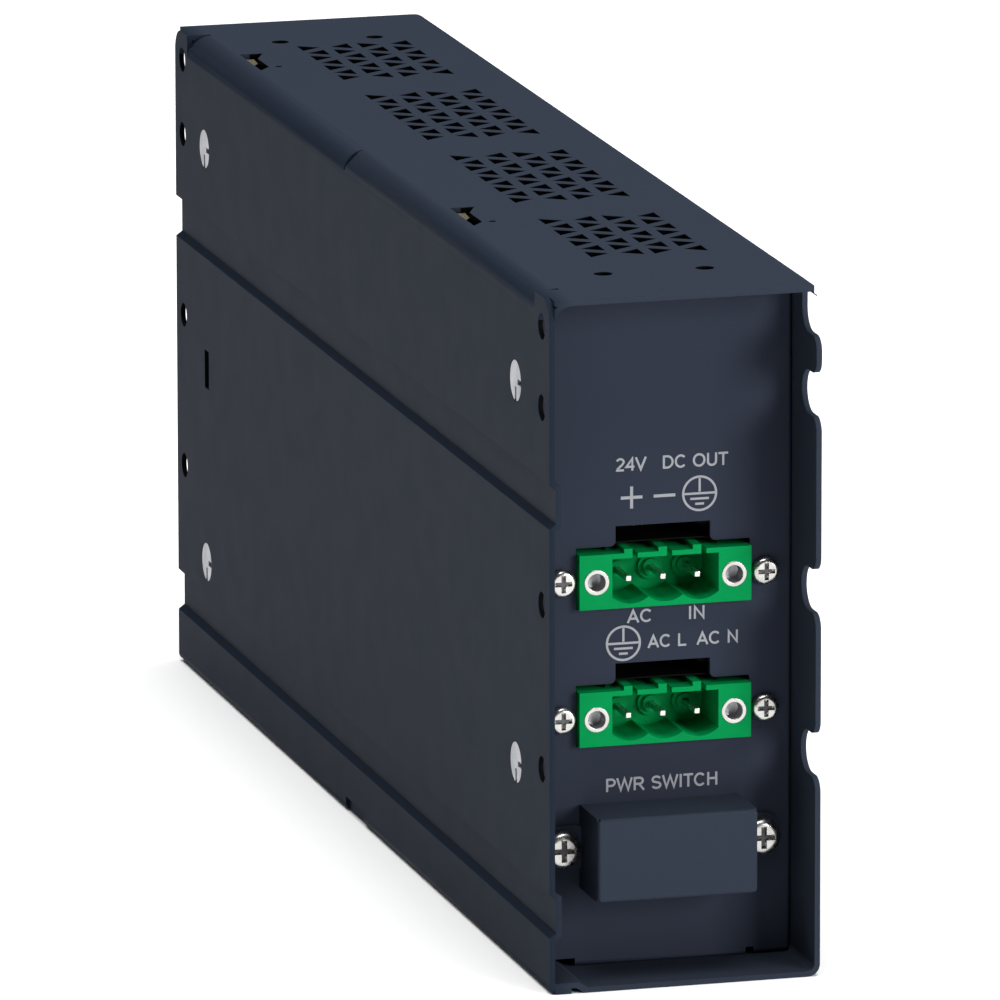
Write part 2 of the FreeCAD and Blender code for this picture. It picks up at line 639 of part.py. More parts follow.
def make_header(label, axis):
    """A three-pole header: flanged block with a scalloped cavity and a boss round each pin."""
    body = new_body(label)
    mid, z, arc = size("width / 2"), size(axis), size("cavity_arc")
    half, low = size("header_long / 2"), z - size("axis_up")
    pitch = size("pole_pitch")
    block = draw(body, "XZ_Plane", "-header_front")
    rectangle(block, "width / 2 - header_long / 2", f"{axis} - axis_up", "width / 2 + header_long / 2",
              f"{axis} - axis_up + header_high")
    pad(body, block, "header_deep", reverse=True)
    side = size("cavity_long / 2")
    top, floor = z + size("cavity_top"), z - size("cavity_low")
    heart = floor + arc
    rise = heart - math.sqrt(arc ** 2 - (side - pitch) ** 2)
    cusp = heart - math.sqrt(arc ** 2 - (pitch / 2) ** 2)
    cavity = draw(body, "XZ_Plane", "-header_front + 1")
    outline(cavity, [(mid + side, top), (mid - side, top), (mid - side, rise),
                     (mid - pitch, floor, mid - pitch / 2, cusp), (mid, floor, mid + pitch / 2, cusp),
                     (mid + pitch, floor, mid + side, rise)])
    pocket(body, cavity, "cavity_deep + 1")
    ledge, crest = low + size("ledge"), low + size("header_high") + 1
    left, right = size("key_left"), size("key_right")
    lowered = draw(body, "XZ_Plane", "-header_front + 1")
    edges = [mid - half - 1]
    for pole in (-1, 0, 1):
        edges += [mid + pole * pitch - left, mid + pole * pitch + right]
    edges.append(mid + half + 1)
    for x0, x1 in zip(edges[0::2], edges[1::2]):
        rectangle(lowered, x0, ledge, x1, crest)
    pocket(body, lowered, "header_deep + 2")
    slots = draw(body, "XZ_Plane", "-header_front + 1")
    for pole in (-1, 0, 1):
        x = mid + pole * pitch + right
        rectangle(slots, x, top - 0.2, x + size("key_slot"), crest)
    pocket(body, slots, "slot_deep + 1")
    for radius, high in (("boss_ring", "boss_high / 2"), ("boss_core", "boss_high")):
        boss = draw(body, "XZ_Plane", "-(header_front + cavity_deep)")
        for pole in (-1, 0, 1):
            circle(boss, f"width / 2 + {pole} * pole_pitch", axis, radius)
        pad(body, boss, high)
    holes = draw(body, "XZ_Plane", "-header_front + 1")
    for pole in (-1, 0, 1):
        x, reach = f"width / 2 + {pole} * pole_pitch", "pin_side / 2"
        rectangle(holes, f"{x} - {reach}", f"{axis} - {reach}", f"{x} + {reach}", f"{axis} + {reach}")
    pocket(body, holes, "header_deep + 2")
    nuts = draw(body, "XZ_Plane", "-header_front + 1")
    for side_sign in "-+":
        circle(nuts, f"width / 2 {side_sign} flange_pitch / 2", axis, "nut_outer")
    pocket(body, nuts, "nut_long + 1")


def make_header_metal(name, axis):
    """The pins, the threaded flange nuts, the card behind and its spacers."""
    back = "header_front + header_deep"
    pins = []
    for pole in (-1, 0, 1):
        pin = box(f"width / 2 + {pole} * pole_pitch - pin_side / 2", "pin_tip", f"{axis} - pin_side / 2",
                  "pin_side", "pin_tail - pin_tip", "pin_side")
        pins.append(soften(pin, 0.12, lambda e: e.CenterOfMass.y < size("pin_tip - depth / 2") + 0.01))
    node(group(*pins), f"{name}_pins")
    nuts = []
    for side in "-+":
        x = f"width / 2 {side} flange_pitch / 2"
        sleeve = rod("y", x, "header_front - 0.1", axis, "nut_outer", "nut_long + 0.1")
        nuts.append(cut(sleeve, rod("y", x, "header_front - 1", axis, "nut_bore", "nut_long + 3")))
    node(group(*nuts), f"{name}_flange_nuts")
    card = box("(width - card_long) / 2", back, f"{axis} - card_high / 2", "card_long", "card_thick",
               "card_high")
    holes = [box(f"width / 2 + {pole} * pole_pitch - pin_side / 2", back, f"{axis} - pin_side / 2",
                 "pin_side", "card_thick", "pin_side") for pole in (-1, 0, 1)]
    node(cut(card, *holes), f"{name}_card")
    spacers = []
    for side in "-+":
        x, start = f"width / 2 {side} side_screw_pitch / 2", "panel_y + gauge"
        post = hexagon("y", x, start, axis, "spacer_across", f"{back} - ({start})")
        spacers.append(cut(post, rod("y", x, start, axis, "m2_thread", 5)))
    node(group(*spacers), f"{name}_spacers")


# ---------------------------------------------------------------- guarded switch

def make_guard():
    """A folded box, open at the back, with an ear on each side."""
    body = new_body("switch_guard")
    back, front = "panel_y", "panel_y - guard_out"
    x0, x1 = "guard_mid - guard_long / 2", "guard_mid + guard_long / 2"
    z0, z1 = "guard_axis - guard_high / 2", "guard_axis + guard_high / 2"
    shell = draw(body, "XZ_Plane", f"-({front})")
    rectangle(shell, x0, z0, x1, z1)
    pad(body, shell, "guard_out", reverse=True)
    ears = draw(body, "XZ_Plane", f"-({back} - guard_gauge)")
    rectangle(ears, f"{x0} - ear_long", "guard_axis - ear_tall / 2", f"{x1} + ear_long",
              "guard_axis + ear_tall / 2")
    pad(body, ears, "guard_gauge", reverse=True)
    ends = draw(body, "XZ_Plane", f"-({back} - 2)")
    left, right, half = size(f"{x0} - ear_long"), size(f"{x1} + ear_long"), size("ear_tall / 2")
    for x, side in ((left, 1), (right, -1)):
        for up in (-1, 1):
            corner_piece(ends, x, size("guard_axis") + up * half, side, -up, size("ear_round"))
    pocket(body, ends, 3)
    inside = draw(body, "XZ_Plane", f"-({front} + guard_gauge)")
    rectangle(inside, f"{x0} + guard_gauge", f"{z0} + guard_gauge", f"{x1} - guard_gauge",
              f"{z1} - guard_gauge")
    pocket(body, inside, "guard_out + 1")
    round_edges(body, "guard_fold", lambda e: abs(e.CenterOfMass.y - size(front)) < 0.01)
    round_edges(body, "ear_bend", lambda e: runs_along("z")(e)
                and abs(e.CenterOfMass.y - size(f"{back} - guard_gauge")) < 0.01
                and abs(abs(e.CenterOfMass.x - size("guard_mid")) - size("guard_long / 2")) < 0.01)
    relief = draw(body, "XZ_Plane", f"-({front}) + 1")
    for x in (x0, x1):
        for z in (z0, z1):
            circle(relief, x, z, "guard_relief")
    pocket(body, relief, "1.8")
    holes = draw(body, "XZ_Plane", f"-({back} - 2)")
    for x in guard_screw_places():
        circle(holes, x, "guard_axis", "thread_m3 + 0.1")
    pocket(body, holes, 4)


def make_switch():
    """The snap-in switch body with its well, the rocker on two pivots, and the blades behind."""
    body = new_body("switch_body")
    mid, axis = "guard_mid", "guard_axis"
    bezel = draw(body, "XZ_Plane", "-(panel_y - bezel_thick)")
    rectangle(bezel, f"{mid} - bezel_long / 2", f"{axis} - bezel_high / 2", f"{mid} + bezel_long / 2",
              f"{axis} + bezel_high / 2")
    pad(body, bezel, "bezel_thick", reverse=True)
    round_edges(body, 0.5, lambda e: e.CenterOfMass.y < size("panel_y - bezel_thick") + 0.01)
    barrel = draw(body, "XZ_Plane", "-panel_y")
    rectangle(barrel, f"{mid} - barrel_long / 2", f"{axis} - barrel_high / 2", f"{mid} + barrel_long / 2",
              f"{axis} + barrel_high / 2")
    pad(body, barrel, "barrel_deep", reverse=True)
    well = draw(body, "XZ_Plane", "-(panel_y - bezel_thick) + 1")
    rectangle(well, f"{mid} - well_long / 2", f"{axis} - well_high / 2", f"{mid} + well_long / 2",
              f"{axis} + well_high / 2")
    pocket(body, well, "well_deep + 1")
    bores = draw(body, "XY_Plane", f"{axis} + well_high / 2 + pivot_reach + 0.1")
    circle(bores, mid, "panel_y + pivot_in", "pivot_bore")
    pocket(body, bores, "well_high + 2 * pivot_reach + 0.2")

    blades = [box(f"{mid} - blade_wide / 2 {shift}", "panel_y + barrel_deep", f"{axis} - blade_thick / 2",
                  "blade_wide", "blade_long", "blade_thick") for shift in ("- 3.2", "+ 3.2")]
    node(group(*blades), "switch_terminals")


def make_rocker():
    """The rocker: two shallow wings that meet over its pivot, tilted to its rest detent."""
    body = doc.addObject("PartDesign::Body", "rocker")
    turn = FreeCAD.Rotation(FreeCAD.Vector(0, 0, 1), size("rocker_tilt"))
    body.Placement = FreeCAD.Placement(FreeCAD.Vector(), turn)
    settle(body, "guard_mid", "panel_y + pivot_in", "guard_axis")
    node(body, "rocker")
    half, high = size("rocker_long / 2"), size("rocker_high / 2")
    front, lean = -4.4, math.tan(math.radians(size("rocker_tilt")))
    profile = draw(body, "XY_Plane", "-rocker_high / 2")
    outline(profile, [(-half, 0.6), (-half, front - half * 0.04), (0, front + half * lean * 0.72),
                      (half, front - half * 0.04), (half, 0.6), (1.6, 1.7), (0, 2.3, -1.6, 1.7)])
    pad(body, profile, "rocker_high")
    round_edges(body, 0.45, lambda e: e.CenterOfMass.y < -2.2 and e.Length > 2)
    pins = draw(body, "XY_Plane", "-rocker_high / 2 - pivot_reach - (well_high - rocker_high) / 2")
    circle(pins, 0, 0, "pivot_pin")
    pad(body, pins, "rocker_high + 2 * pivot_reach + (well_high - rocker_high)")


# ---------------------------------------------------------------- inner chassis and power board

def corner_places(inset):
    """The four fixing places of the power board, in the board's plane."""
    return [(y, z) for y in (f"board_front + {inset}", f"board_front + board_long - {inset}")
            for z in (f"board_low + {inset}", f"board_low + board_high - {inset}")]


def make_tray():
    """A plate beside the left wall, with a sloping tab under each window of the lid."""
    plate = box("tray_x", "tray_front", "tray_low", "gauge", "tray_long", "tray_high")
    tabs = []
    for shift in ("0", "window_run"):
        tab = doc.addObject("Part::Wedge", "tab")
        bind(tab, Xmin="0", Xmax="tab_reach", Ymin="0", Ymax="window_long + 1.4", Zmin="0", Zmax="gauge",
             X2min="0", X2max="tab_reach", Z2min="tab_rise - 0.8", Z2max="tab_rise + gauge - 0.8")
        tabs.append(settle(tab, "tray_x + gauge", f"window_y - 0.7 + {shift}",
                           "tray_low + tray_high - gauge - 0.4"))
    node(join(plate, *tabs), "board_tray")


def make_board():
    holes = [rod("x", "board_x - 1", y, z, "thread_m3", "board_thick + 2")
             for y, z in corner_places("stand_inset")]
    plate = box("board_x", "board_front", "board_low", "board_thick", "board_long", "board_high")
    node(cut(plate, *holes), "main_board")
    posts = [hexagon("x", "tray_x + gauge", y, z, "stand_across", "board_x - tray_x - gauge")
             for y, z in corner_places("stand_inset")]
    node(group(*posts), "board_standoffs")
    screws = []
    for y, z in corner_places("stand_inset"):
        head = rod("x", "deck", y, z, "m3_head", "m3_head_high")
        shank = rod("x", "board_x", y, z, "thread_m3", "board_thick")
        screws.append(cut(join(head, shank), *cross_recess("x", "deck + m3_head_high - 0.9", y, z, "cross_m3",
                                                           "cross_m3_wide", "1")))
    node(group(*screws), "board_screws")
    film = box("tray_x + gauge + 0.2", "board_front", "board_low", "film", "board_long", "board_high")
    gaps = [rod("x", "tray_x + gauge", y, z, "stand_across + 0.4", 2)
            for y, z in corner_places("stand_inset")]
    node(cut(film, *gaps), "insulating_film")


def make_transformer():
    """A ferrite core round a wound middle leg."""
    x = "deck + coil_over"
    core = box(x, "core_y", "core_z", "core_deep", "core_long", "core_high")
    high = "(core_high - leg - 2 * yoke) / 2"
    windows = [box(f"{x} - 1", "core_y + yoke", f"core_z + {low}", "core_deep + 2",
                   "core_long - 2 * yoke", high)
               for low in ("yoke", f"yoke + {high} + leg")]
    leg = box(x, "core_y + yoke", f"core_z + yoke + {high}", "core_deep", "core_long - 2 * yoke", "leg")
    node(cut(core, *windows), "transformer_core")
    coil = box("deck", "core_y + yoke + 0.1", "core_z + yoke + 0.3", "core_deep + 2 * coil_over - 0.6",
               "core_long - 2 * yoke - 0.2", "core_high - 2 * yoke - 0.6")
    coil = soften(coil, 3.0, runs_along("y"))
    node(cut(coil, leg), "transformer_winding")


def make_capacitors():
    can = soften(rod("x", "deck", "bulk_y", "bulk_z", "bulk_round", "bulk_tall"), 1.2)
    node(can, "bulk_capacitor")
    cans = [soften(rod("x", "deck", "outcap_y", f"outcap_z + {k} * outcap_pitch", "outcap_round",
                       "outcap_tall"), 0.8) for k in range(3)]
    node(group(*cans), "output_capacitors")
    block = box("deck", "film_cap_y", "film_cap_z", "film_cap_tall", "film_cap_long", "film_cap_wide")
    node(soften(block, 0.8), "interference_capacitor")


def make_chokes():
    for name, y, z, radius, wire in (("mains_choke", "choke_y", "choke_z", "choke_ring", "choke_wire"),
                                     ("output_choke", "coil_y", "coil_z", "coil_ring", "coil_wire")):
        node(ring("x", f"deck + {wire} + 0.2", y, z, radius, wire), name)


def make_heatsink(name, y):
    """A plate that stands on the board, with short fins on its upper side."""
    plate = box("deck", y, "sink_z", "sink_tall", "sink_long", "sink_thick")
    fins = [box("deck + 2", f"{y} + {k} * (sink_long - 1.2) / (sink_fins - 1)", "sink_z + sink_thick",
                "sink_tall - 2", 1.2, "sink_fin") for k in range(SIZES["sink_fins"])]
    holes = [rod("z", "deck + 17", f"{y} + {share} * sink_long", "sink_z - 1", "thread_m3", 5)
             for share in (0.25, 0.75)]
    node(cut(join(plate, *fins), *holes), name)


def make_power_devices():
    bodies, screws = [], []
    for y in ("sink_a_y", "sink_b_y"):
        for share in (0.25, 0.75):
            mid = f"{y} + {share} * sink_long"
            chip = box("deck + 4", f"{mid} - chip_wide / 2", "sink_z - chip_thick", "chip_tall", "chip_wide",
                       "chip_thick")
            bodies.append(cut(chip, rod("z", "deck + 17", mid, "sink_z - chip_thick - 1", 1.6, 8)))
            head = rod("z", "deck + 17", mid, "sink_z - chip_thick - m3_head_high", "m3_head - 0.2",
                       "m3_head_high")
            screws.append(join(head, rod("z", "deck + 17", mid, "sink_z - chip_thick", "thread_m3 - 0.05",
                                         "chip_thick + sink_thick")))
    node(group(*bodies), "power_transistors")
    node(group(*screws), "heatsink_screws")
    bridge = box("deck", "bridge_y", "bridge_z", "bridge_tall", "bridge_long", "bridge_wide")
    node(soften(bridge, 0.5), "bridge_rectifier")


def make_fuse():
    glass = rod("y", "deck + 4.5", "fuse_y", "fuse_z", "fuse_round", "fuse_long")
    node(soften(glass, 0.4), "mains_fuse")
    clips = []
    for y in ("fuse_y + 1.5", "fuse_y + fuse_long - 6.5"):
        jaw = box("deck", y, "fuse_z - fuse_round - 0.6", "7.6", 5, "2 * fuse_round + 1.2")
        clips.append(cut(jaw, rod("y", "deck + 4.5", f"{y} - 1", "fuse_z", "fuse_round", 7),
                         box("deck + 5.5", f"{y} - 1", "fuse_z - 2", 4, 7, 4),
                         box("deck + 0.5", f"{y} - 1", "fuse_z - 2.6", 2.2, 7, 5.2)))
    node(group(*clips), "fuse_clips")


def make_earth_stud():
    """The bonding stud that stands on the tray, with its nut and washer."""
    stud = rod("x", "tray_x + gauge", "stud_y", "stud_z", "stud_round", "stud_long")
    node(stud, "earth_stud")
    washer = rod("x", "tray_x + gauge", "stud_y", "stud_z", "washer_round", "washer_thick")
    nut = hexagon("x", "tray_x + gauge + washer_thick", "stud_y", "stud_z", "nut_round", "nut_thick")
    bore = rod("x", "tray_x", "stud_y", "stud_z", "stud_round", "stud_long")
    node(cut(join(nut, washer), bore), "earth_nut")


make_housing()
make_panel("rear_panel", False)
make_front_panel()
make_side_screws()
make_header("dc_output_header", "dc_axis")
make_header("ac_input_header", "ac_axis")
make_header_metal("dc_header", "dc_axis")
make_header_metal("ac_header", "ac_axis")
make_header_screws()
make_guard()
make_guard_screws()
make_switch()
make_rocker()
make_tray()
make_board()
make_transformer()
make_capacitors()
make_chokes()
make_heatsink("primary_heatsink", "sink_a_y")
make_heatsink("secondary_heatsink", "sink_b_y")
make_power_devices()
make_fuse()
make_earth_stud()

# ---------------------------------------------------------------- hand-over

doc.recompute()
for item in doc.Objects:
    if {"Invalid", "Error"} & set(item.State):
        raise RuntimeError(f"{item.Label} failed: {item.State}")
os.makedirs("parts", exist_ok=True)
for item in nodes:
    if item.Shape.isNull() or not item.Shape.isValid():
        raise RuntimeError(f"{item.Label} has no valid shape")
    item.Shape.exportStep(f"parts/{item.Label}.step")
    print(f"{item.Label}: {len(item.Shape.Solids)} solids, {item.Shape.Volume:.0f} mm3")
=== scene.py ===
import math

import bmesh
import bpy
from mathutils import Matrix, Vector


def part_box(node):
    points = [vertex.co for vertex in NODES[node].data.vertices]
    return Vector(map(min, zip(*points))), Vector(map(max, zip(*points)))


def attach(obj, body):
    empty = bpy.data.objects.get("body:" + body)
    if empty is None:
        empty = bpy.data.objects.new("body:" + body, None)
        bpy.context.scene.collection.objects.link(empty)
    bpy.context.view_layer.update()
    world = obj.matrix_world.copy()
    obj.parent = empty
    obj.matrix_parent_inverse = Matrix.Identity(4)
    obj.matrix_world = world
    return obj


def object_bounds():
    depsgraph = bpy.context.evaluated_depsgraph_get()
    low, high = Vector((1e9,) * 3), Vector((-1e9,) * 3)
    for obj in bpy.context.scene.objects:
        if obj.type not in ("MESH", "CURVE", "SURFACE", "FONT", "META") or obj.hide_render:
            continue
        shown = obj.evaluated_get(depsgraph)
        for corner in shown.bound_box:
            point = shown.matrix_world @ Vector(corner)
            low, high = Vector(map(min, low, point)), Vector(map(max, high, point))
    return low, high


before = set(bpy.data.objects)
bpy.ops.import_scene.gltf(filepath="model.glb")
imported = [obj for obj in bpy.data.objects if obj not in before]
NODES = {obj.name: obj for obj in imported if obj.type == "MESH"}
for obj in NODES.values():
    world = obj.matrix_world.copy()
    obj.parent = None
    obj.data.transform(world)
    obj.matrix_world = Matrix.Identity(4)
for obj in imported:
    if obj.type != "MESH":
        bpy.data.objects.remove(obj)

MM = 0.001
CAD_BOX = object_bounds()


# ---------------------------------------------------------------- node helpers

def new_material(name):
    """A material with a Principled shader; returns it with its node tree and shader."""
    material = bpy.data.materials.new(name)
    material.use_nodes = True
    tree = material.node_tree
    shader = tree.nodes["Principled BSDF"]
    return material, tree, shader


def node(tree, kind, **settings):
    """A new node; settings are its inputs by name, or its attributes."""
    made = tree.nodes.new(kind)
    for key, value in settings.items():
        name = key.replace("_", " ")
        if name in made.inputs:
            made.inputs[name].default_value = value
        else:
            setattr(made, key, value)
    return made


def place_coords(tree, scale=(1, 1, 1)):
    """Object coordinates in metres, stretched by a scale along each axis."""
    coords = tree.nodes.new("ShaderNodeTexCoord")
    mapping = tree.nodes.new("ShaderNodeMapping")
    mapping.inputs["Scale"].default_value = scale
    tree.links.new(coords.outputs["Object"], mapping.inputs["Vector"])
    return mapping.outputs["Vector"]


def noise(tree, vector, scale, detail, roughness):
    """A noise value between nought and one."""
    made = node(tree, "ShaderNodeTexNoise", Scale=scale, Detail=detail, Roughness=roughness)
    tree.links.new(vector, made.inputs["Vector"])
    return made.outputs["Fac"]


def spread(tree, value, low, high, out_low, out_high):
    """A value carried from one range to another."""
    made = node(tree, "ShaderNodeMapRange", From_Min=low, From_Max=high, To_Min=out_low, To_Max=out_high)
    tree.links.new(value, made.inputs["Value"])
    return made.outputs["Result"]


def mix(tree, share, first, second):
    """Mix two colours; share and either colour may be a socket or a value."""
    made = node(tree, "ShaderNodeMix", data_type="RGBA")
    sockets = (made.inputs[0], made.inputs[6], made.inputs[7])
    for socket, value in zip(sockets, (share, first, second)):
        if isinstance(value, bpy.types.NodeSocket):
            tree.links.new(value, socket)
        else:
            socket.default_value = (*value, 1) if isinstance(value, tuple) and len(value) == 3 else value
    return made.outputs[2]


def bump(tree, shader, height, distance, strength):
    """Raise the shader's surface by a value, over a distance in metres."""
    made = node(tree, "ShaderNodeBump", Strength=strength, Distance=distance)
    tree.links.new(height, made.inputs["Height"])
    tree.links.new(made.outputs["Normal"], shader.inputs["Normal"])


def hex_colour(text):
    """A linear colour from sRGB hex digits."""
    parts = [int(text[k:k + 2], 16) / 255 for k in (0, 2, 4)]
    return tuple(p / 12.92 if p <= 0.04045 else ((p + 0.055) / 1.055) ** 2.4 for p in parts)


# ---------------------------------------------------------------- materials

def combine(tree, operation, first, second):
    """Two values joined by one operation of arithmetic."""
    both = node(tree, "ShaderNodeMath", operation=operation)
    tree.links.new(first, both.inputs[0])
    tree.links.new(second, both.inputs[1])
    return both.outputs[0]


def between(tree, value, low, high):
    """One where a value lies between two limits, otherwise nought."""
    above = node(tree, "ShaderNodeMath", operation="GREATER_THAN")
    below = node(tree, "ShaderNodeMath", operation="LESS_THAN")
    for test, limit in ((above, low), (below, high)):
        tree.links.new(value, test.inputs[0])
        test.inputs[1].default_value = limit
    return combine(tree, "MULTIPLY", above.outputs[0], below.outputs[0])


# In mm: the paint's skin, which keeps its tone; how deep the painted shade on a cut edge reaches; how far the
# openings of the lid and of the left wall stay clear of the sheet's own edges; the two levels of the wall that
# have them.
SKIN, CUT_SHADE_DEEP = 0.06, 0.74
LID_LEFT, LID_RIGHT, LID_ENDS, LID_DEEP = 5.5, 1.5, 10, 1.0
WALL_ENDS = 1
WALL_LEVELS = ((15.3, 66.9), (74.8, 96.7))
# The near-black of the painted shade on the cut edges of the openings.
CUT_SHADE_TONE = (0.0015, 0.0016, 0.002)
# The painted shade on the left wall: its darker tone, and where it fades out towards the lid: from and to, in
# mm, and its share.
WALL_SHADE_TONE = hex_colour("131c28")
WALL_SHADE_FADE = (0.3, 3.5)
WALL_SHADE_SHARE = 0.75


def cut_edge_shade(tree, low, high):
    """The mask of painted shade on the raw edges of the openings in the lid and the left wall: one there,
    otherwise nought.
    """
    coords = tree.nodes.new("ShaderNodeTexCoord")
    parts = tree.nodes.new("ShaderNodeSeparateXYZ")
    tree.links.new(coords.outputs["Object"], parts.inputs["Vector"])
    skin, sheet = SKIN * MM, CUT_SHADE_DEEP * MM
    zones = [((low.x + LID_LEFT * MM, high.x - LID_RIGHT * MM), (low.y + LID_ENDS * MM, high.y - LID_ENDS * MM),
              (high.z - LID_DEEP * MM, high.z - skin))]
    for foot, head in WALL_LEVELS:
        zones.append(((low.x + skin, low.x + sheet), (low.y + WALL_ENDS * MM, high.y - WALL_ENDS * MM),
                      (foot * MM, head * MM)))
    total = None
    for zone in zones:
        share = None
        for axis, limits in zip("XYZ", zone):
            inside = between(tree, parts.outputs[axis], *limits)
            share = inside if share is None else combine(tree, "MULTIPLY", share, inside)
        total = share if total is None else combine(tree, "MAXIMUM", total, share)
    return total


def powder_coat(name, colour, light, shade_box=None):
    """Fine-texture paint: an even tone with a fine orange-peel grain and faintly uneven gloss.

    The shade box is the corners of the housing's box; with it the left wall and the cut edges get painted
    shade, a darker colour."""
    material, tree, shader = new_material(name)
    here = place_coords(tree)
    cloud = noise(tree, here, 60, 3, 0.5)
    speck = noise(tree, here, 3200, 2, 0.6)
    tone = mix(tree, spread(tree, cloud, 0.3, 0.7, 0.0, 0.03), colour, light)
    tone = mix(tree, spread(tree, speck, 0.5, 0.8, 0.0, 0.3), tone, light)
    # Painted shade: the left wall darkens, fading out across the bend towards the lid, and the cut edges of the
    # openings turn near-black.
    if shade_box:
        coords = node(tree, "ShaderNodeTexCoord")
        parts = node(tree, "ShaderNodeSeparateXYZ")
        tree.links.new(coords.outputs["Object"], parts.inputs["Vector"])
        side = shade_box[0].x
        wall = spread(tree, parts.outputs["X"], side + WALL_SHADE_FADE[0] * MM, side + WALL_SHADE_FADE[1] * MM,
                      WALL_SHADE_SHARE, 0.0)
        tone = mix(tree, wall, tone, WALL_SHADE_TONE)
        tone = mix(tree, cut_edge_shade(tree, *shade_box), tone, CUT_SHADE_TONE)
    tree.links.new(tone, shader.inputs["Base Color"])
    gloss = noise(tree, here, 150, 3, 0.5)
    tree.links.new(spread(tree, gloss, 0.25, 0.75, 0.55, 0.6), shader.inputs["Roughness"])
    shader.inputs["Specular IOR Level"].default_value = 0.025
    peel = noise(tree, here, 2400, 2, 0.5)
    bump(tree, shader, peel, 0.00001, 0.45)
    return material


def moulded(name, colour, dark, rough, grain=1800.0, specular=0.4):
    """Moulded plastic: slight flow marks, a fine matte grain, and a soft edge sheen."""
    material, tree, shader = new_material(name)
    here = place_coords(tree, (1, 1, 2.5))
    flow = noise(tree, here, 180, 3, 0.6)
    tone = mix(tree, spread(tree, flow, 0.3, 0.75, 0.0, 0.4), colour, dark)
    tree.links.new(tone, shader.inputs["Base Color"])
    grain_value = noise(tree, place_coords(tree), grain, 2, 0.5)
    gloss = spread(tree, grain_value, 0.3, 0.7, rough - 0.06, rough + 0.08)
    tree.links.new(gloss, shader.inputs["Roughness"])
    shader.inputs["Specular IOR Level"].default_value = specular
    shader.inputs["Subsurface Weight"].default_value = 0.05
    shader.inputs["Subsurface Scale"].default_value = 0.0008
    bump(tree, shader, grain_value, 0.000008, 0.5)
    return material


def plated(name, colour, dark, rough, stretch=(1, 1, 1), scale=900.0, metallic=1.0):
    """Plated metal: fine tool marks, small dull patches and soft variation of gloss."""
    material, tree, shader = new_material(name)
    marks = noise(tree, place_coords(tree, stretch), scale, 4, 0.65)
    patch = noise(tree, place_coords(tree), 260, 3, 0.5)
    tone = mix(tree, spread(tree, patch, 0.35, 0.8, 0.0, 0.6), colour, dark)
    tree.links.new(tone, shader.inputs["Base Color"])
    tree.links.new(spread(tree, marks, 0.25, 0.75, rough - 0.08, rough + 0.14), shader.inputs["Roughness"])
    shader.inputs["Metallic"].default_value = metallic
    bump(tree, shader, marks, 0.000006, 0.5)
    return material


def laminate(name, mask, mask_light, run):
    """A circuit board: mask over copper runs, drawn by a brick pattern, with a woven ground."""
    material, tree, shader = new_material(name)
    here = place_coords(tree)
    turned = tree.nodes.new("ShaderNodeMapping")
    turned.inputs["Rotation"].default_value = (math.pi / 2, 0, math.pi / 2)
    tree.links.new(here, turned.inputs["Vector"])
    runs = node(tree, "ShaderNodeTexBrick", Scale=160.0, Mortar_Size=0.09, Brick_Width=0.9, Row_Height=0.3)
    tree.links.new(turned.outputs["Vector"], runs.inputs["Vector"])
    weave = noise(tree, here, 1500, 2, 0.5)
    base = mix(tree, spread(tree, weave, 0.3, 0.7, 0, 0.3), mask, mask_light)
    tree.links.new(mix(tree, runs.outputs["Fac"], base, run), shader.inputs["Base Color"])
    tree.links.new(spread(tree, weave, 0.3, 0.7, 0.28, 0.4), shader.inputs["Roughness"])
    bump(tree, shader, runs.outputs["Fac"], 0.00003, 0.6)
    return material


def layered(name, colour, dark, axis_scale, rough, metallic=0.0):
    """Wound or layered stock: regular bands across one axis, broken by a little noise."""
    material, tree, shader = new_material(name)
    here = place_coords(tree, axis_scale)
    bands = node(tree, "ShaderNodeTexWave", Scale=1.0, Distortion=0.6, Detail=1.0)
    tree.links.new(here, bands.inputs["Vector"])
    patch = noise(tree, place_coords(tree), 300, 3, 0.5)
    tone = mix(tree, bands.outputs["Fac"], dark, colour)
    tree.links.new(mix(tree, spread(tree, patch, 0.3, 0.8, 0, 0.3), tone, dark), shader.inputs["Base Color"])
    tree.links.new(spread(tree, patch, 0.2, 0.8, rough - 0.08, rough + 0.1), shader.inputs["Roughness"])
    shader.inputs["Metallic"].default_value = metallic
    bump(tree, shader, bands.outputs["Fac"], 0.00012, 0.7)
    return material


def printed(name):
    """Screen-printed ink, a little uneven in cover."""
    material, tree, shader = new_material(name)
    cover = noise(tree, place_coords(tree), 2200, 3, 0.6)
    ink = mix(tree, spread(tree, cover, 0.45, 0.8, 0.0, 0.25), hex_colour("898b91"), hex_colour("787a81"))
    tree.links.new(ink, shader.inputs["Base Color"])
    tree.links.new(spread(tree, cover, 0.3, 0.7, 0.45, 0.6), shader.inputs["Roughness"])
    bump(tree, shader, cover, 0.000004, 0.5)
    return material


def clear_glass(name):
    """Drawn glass tube, faintly uneven."""
    material, tree, shader = new_material(name)
    swirl = noise(tree, place_coords(tree), 400, 2, 0.5)
    tree.links.new(mix(tree, swirl, hex_colour("dfeaea"), hex_colour("cfe0de")), shader.inputs["Base Color"])
    tree.links.new(spread(tree, swirl, 0.3, 0.7, 0.03, 0.09), shader.inputs["Roughness"])
    shader.inputs["Transmission Weight"].default_value = 0.9
    return material


def floor_paint(name):
    """A matt white floor."""
    material, tree, shader = new_material(name)
    tone = noise(tree, place_coords(tree), 3, 2, 0.5)
    tree.links.new(mix(tree, tone, hex_colour("fafafa"), hex_colour("fcfcfc")), shader.inputs["Base Color"])
    shader.inputs["Roughness"].default_value = 0.9
    shader.inputs["Specular IOR Level"].default_value = 0.0
    return material
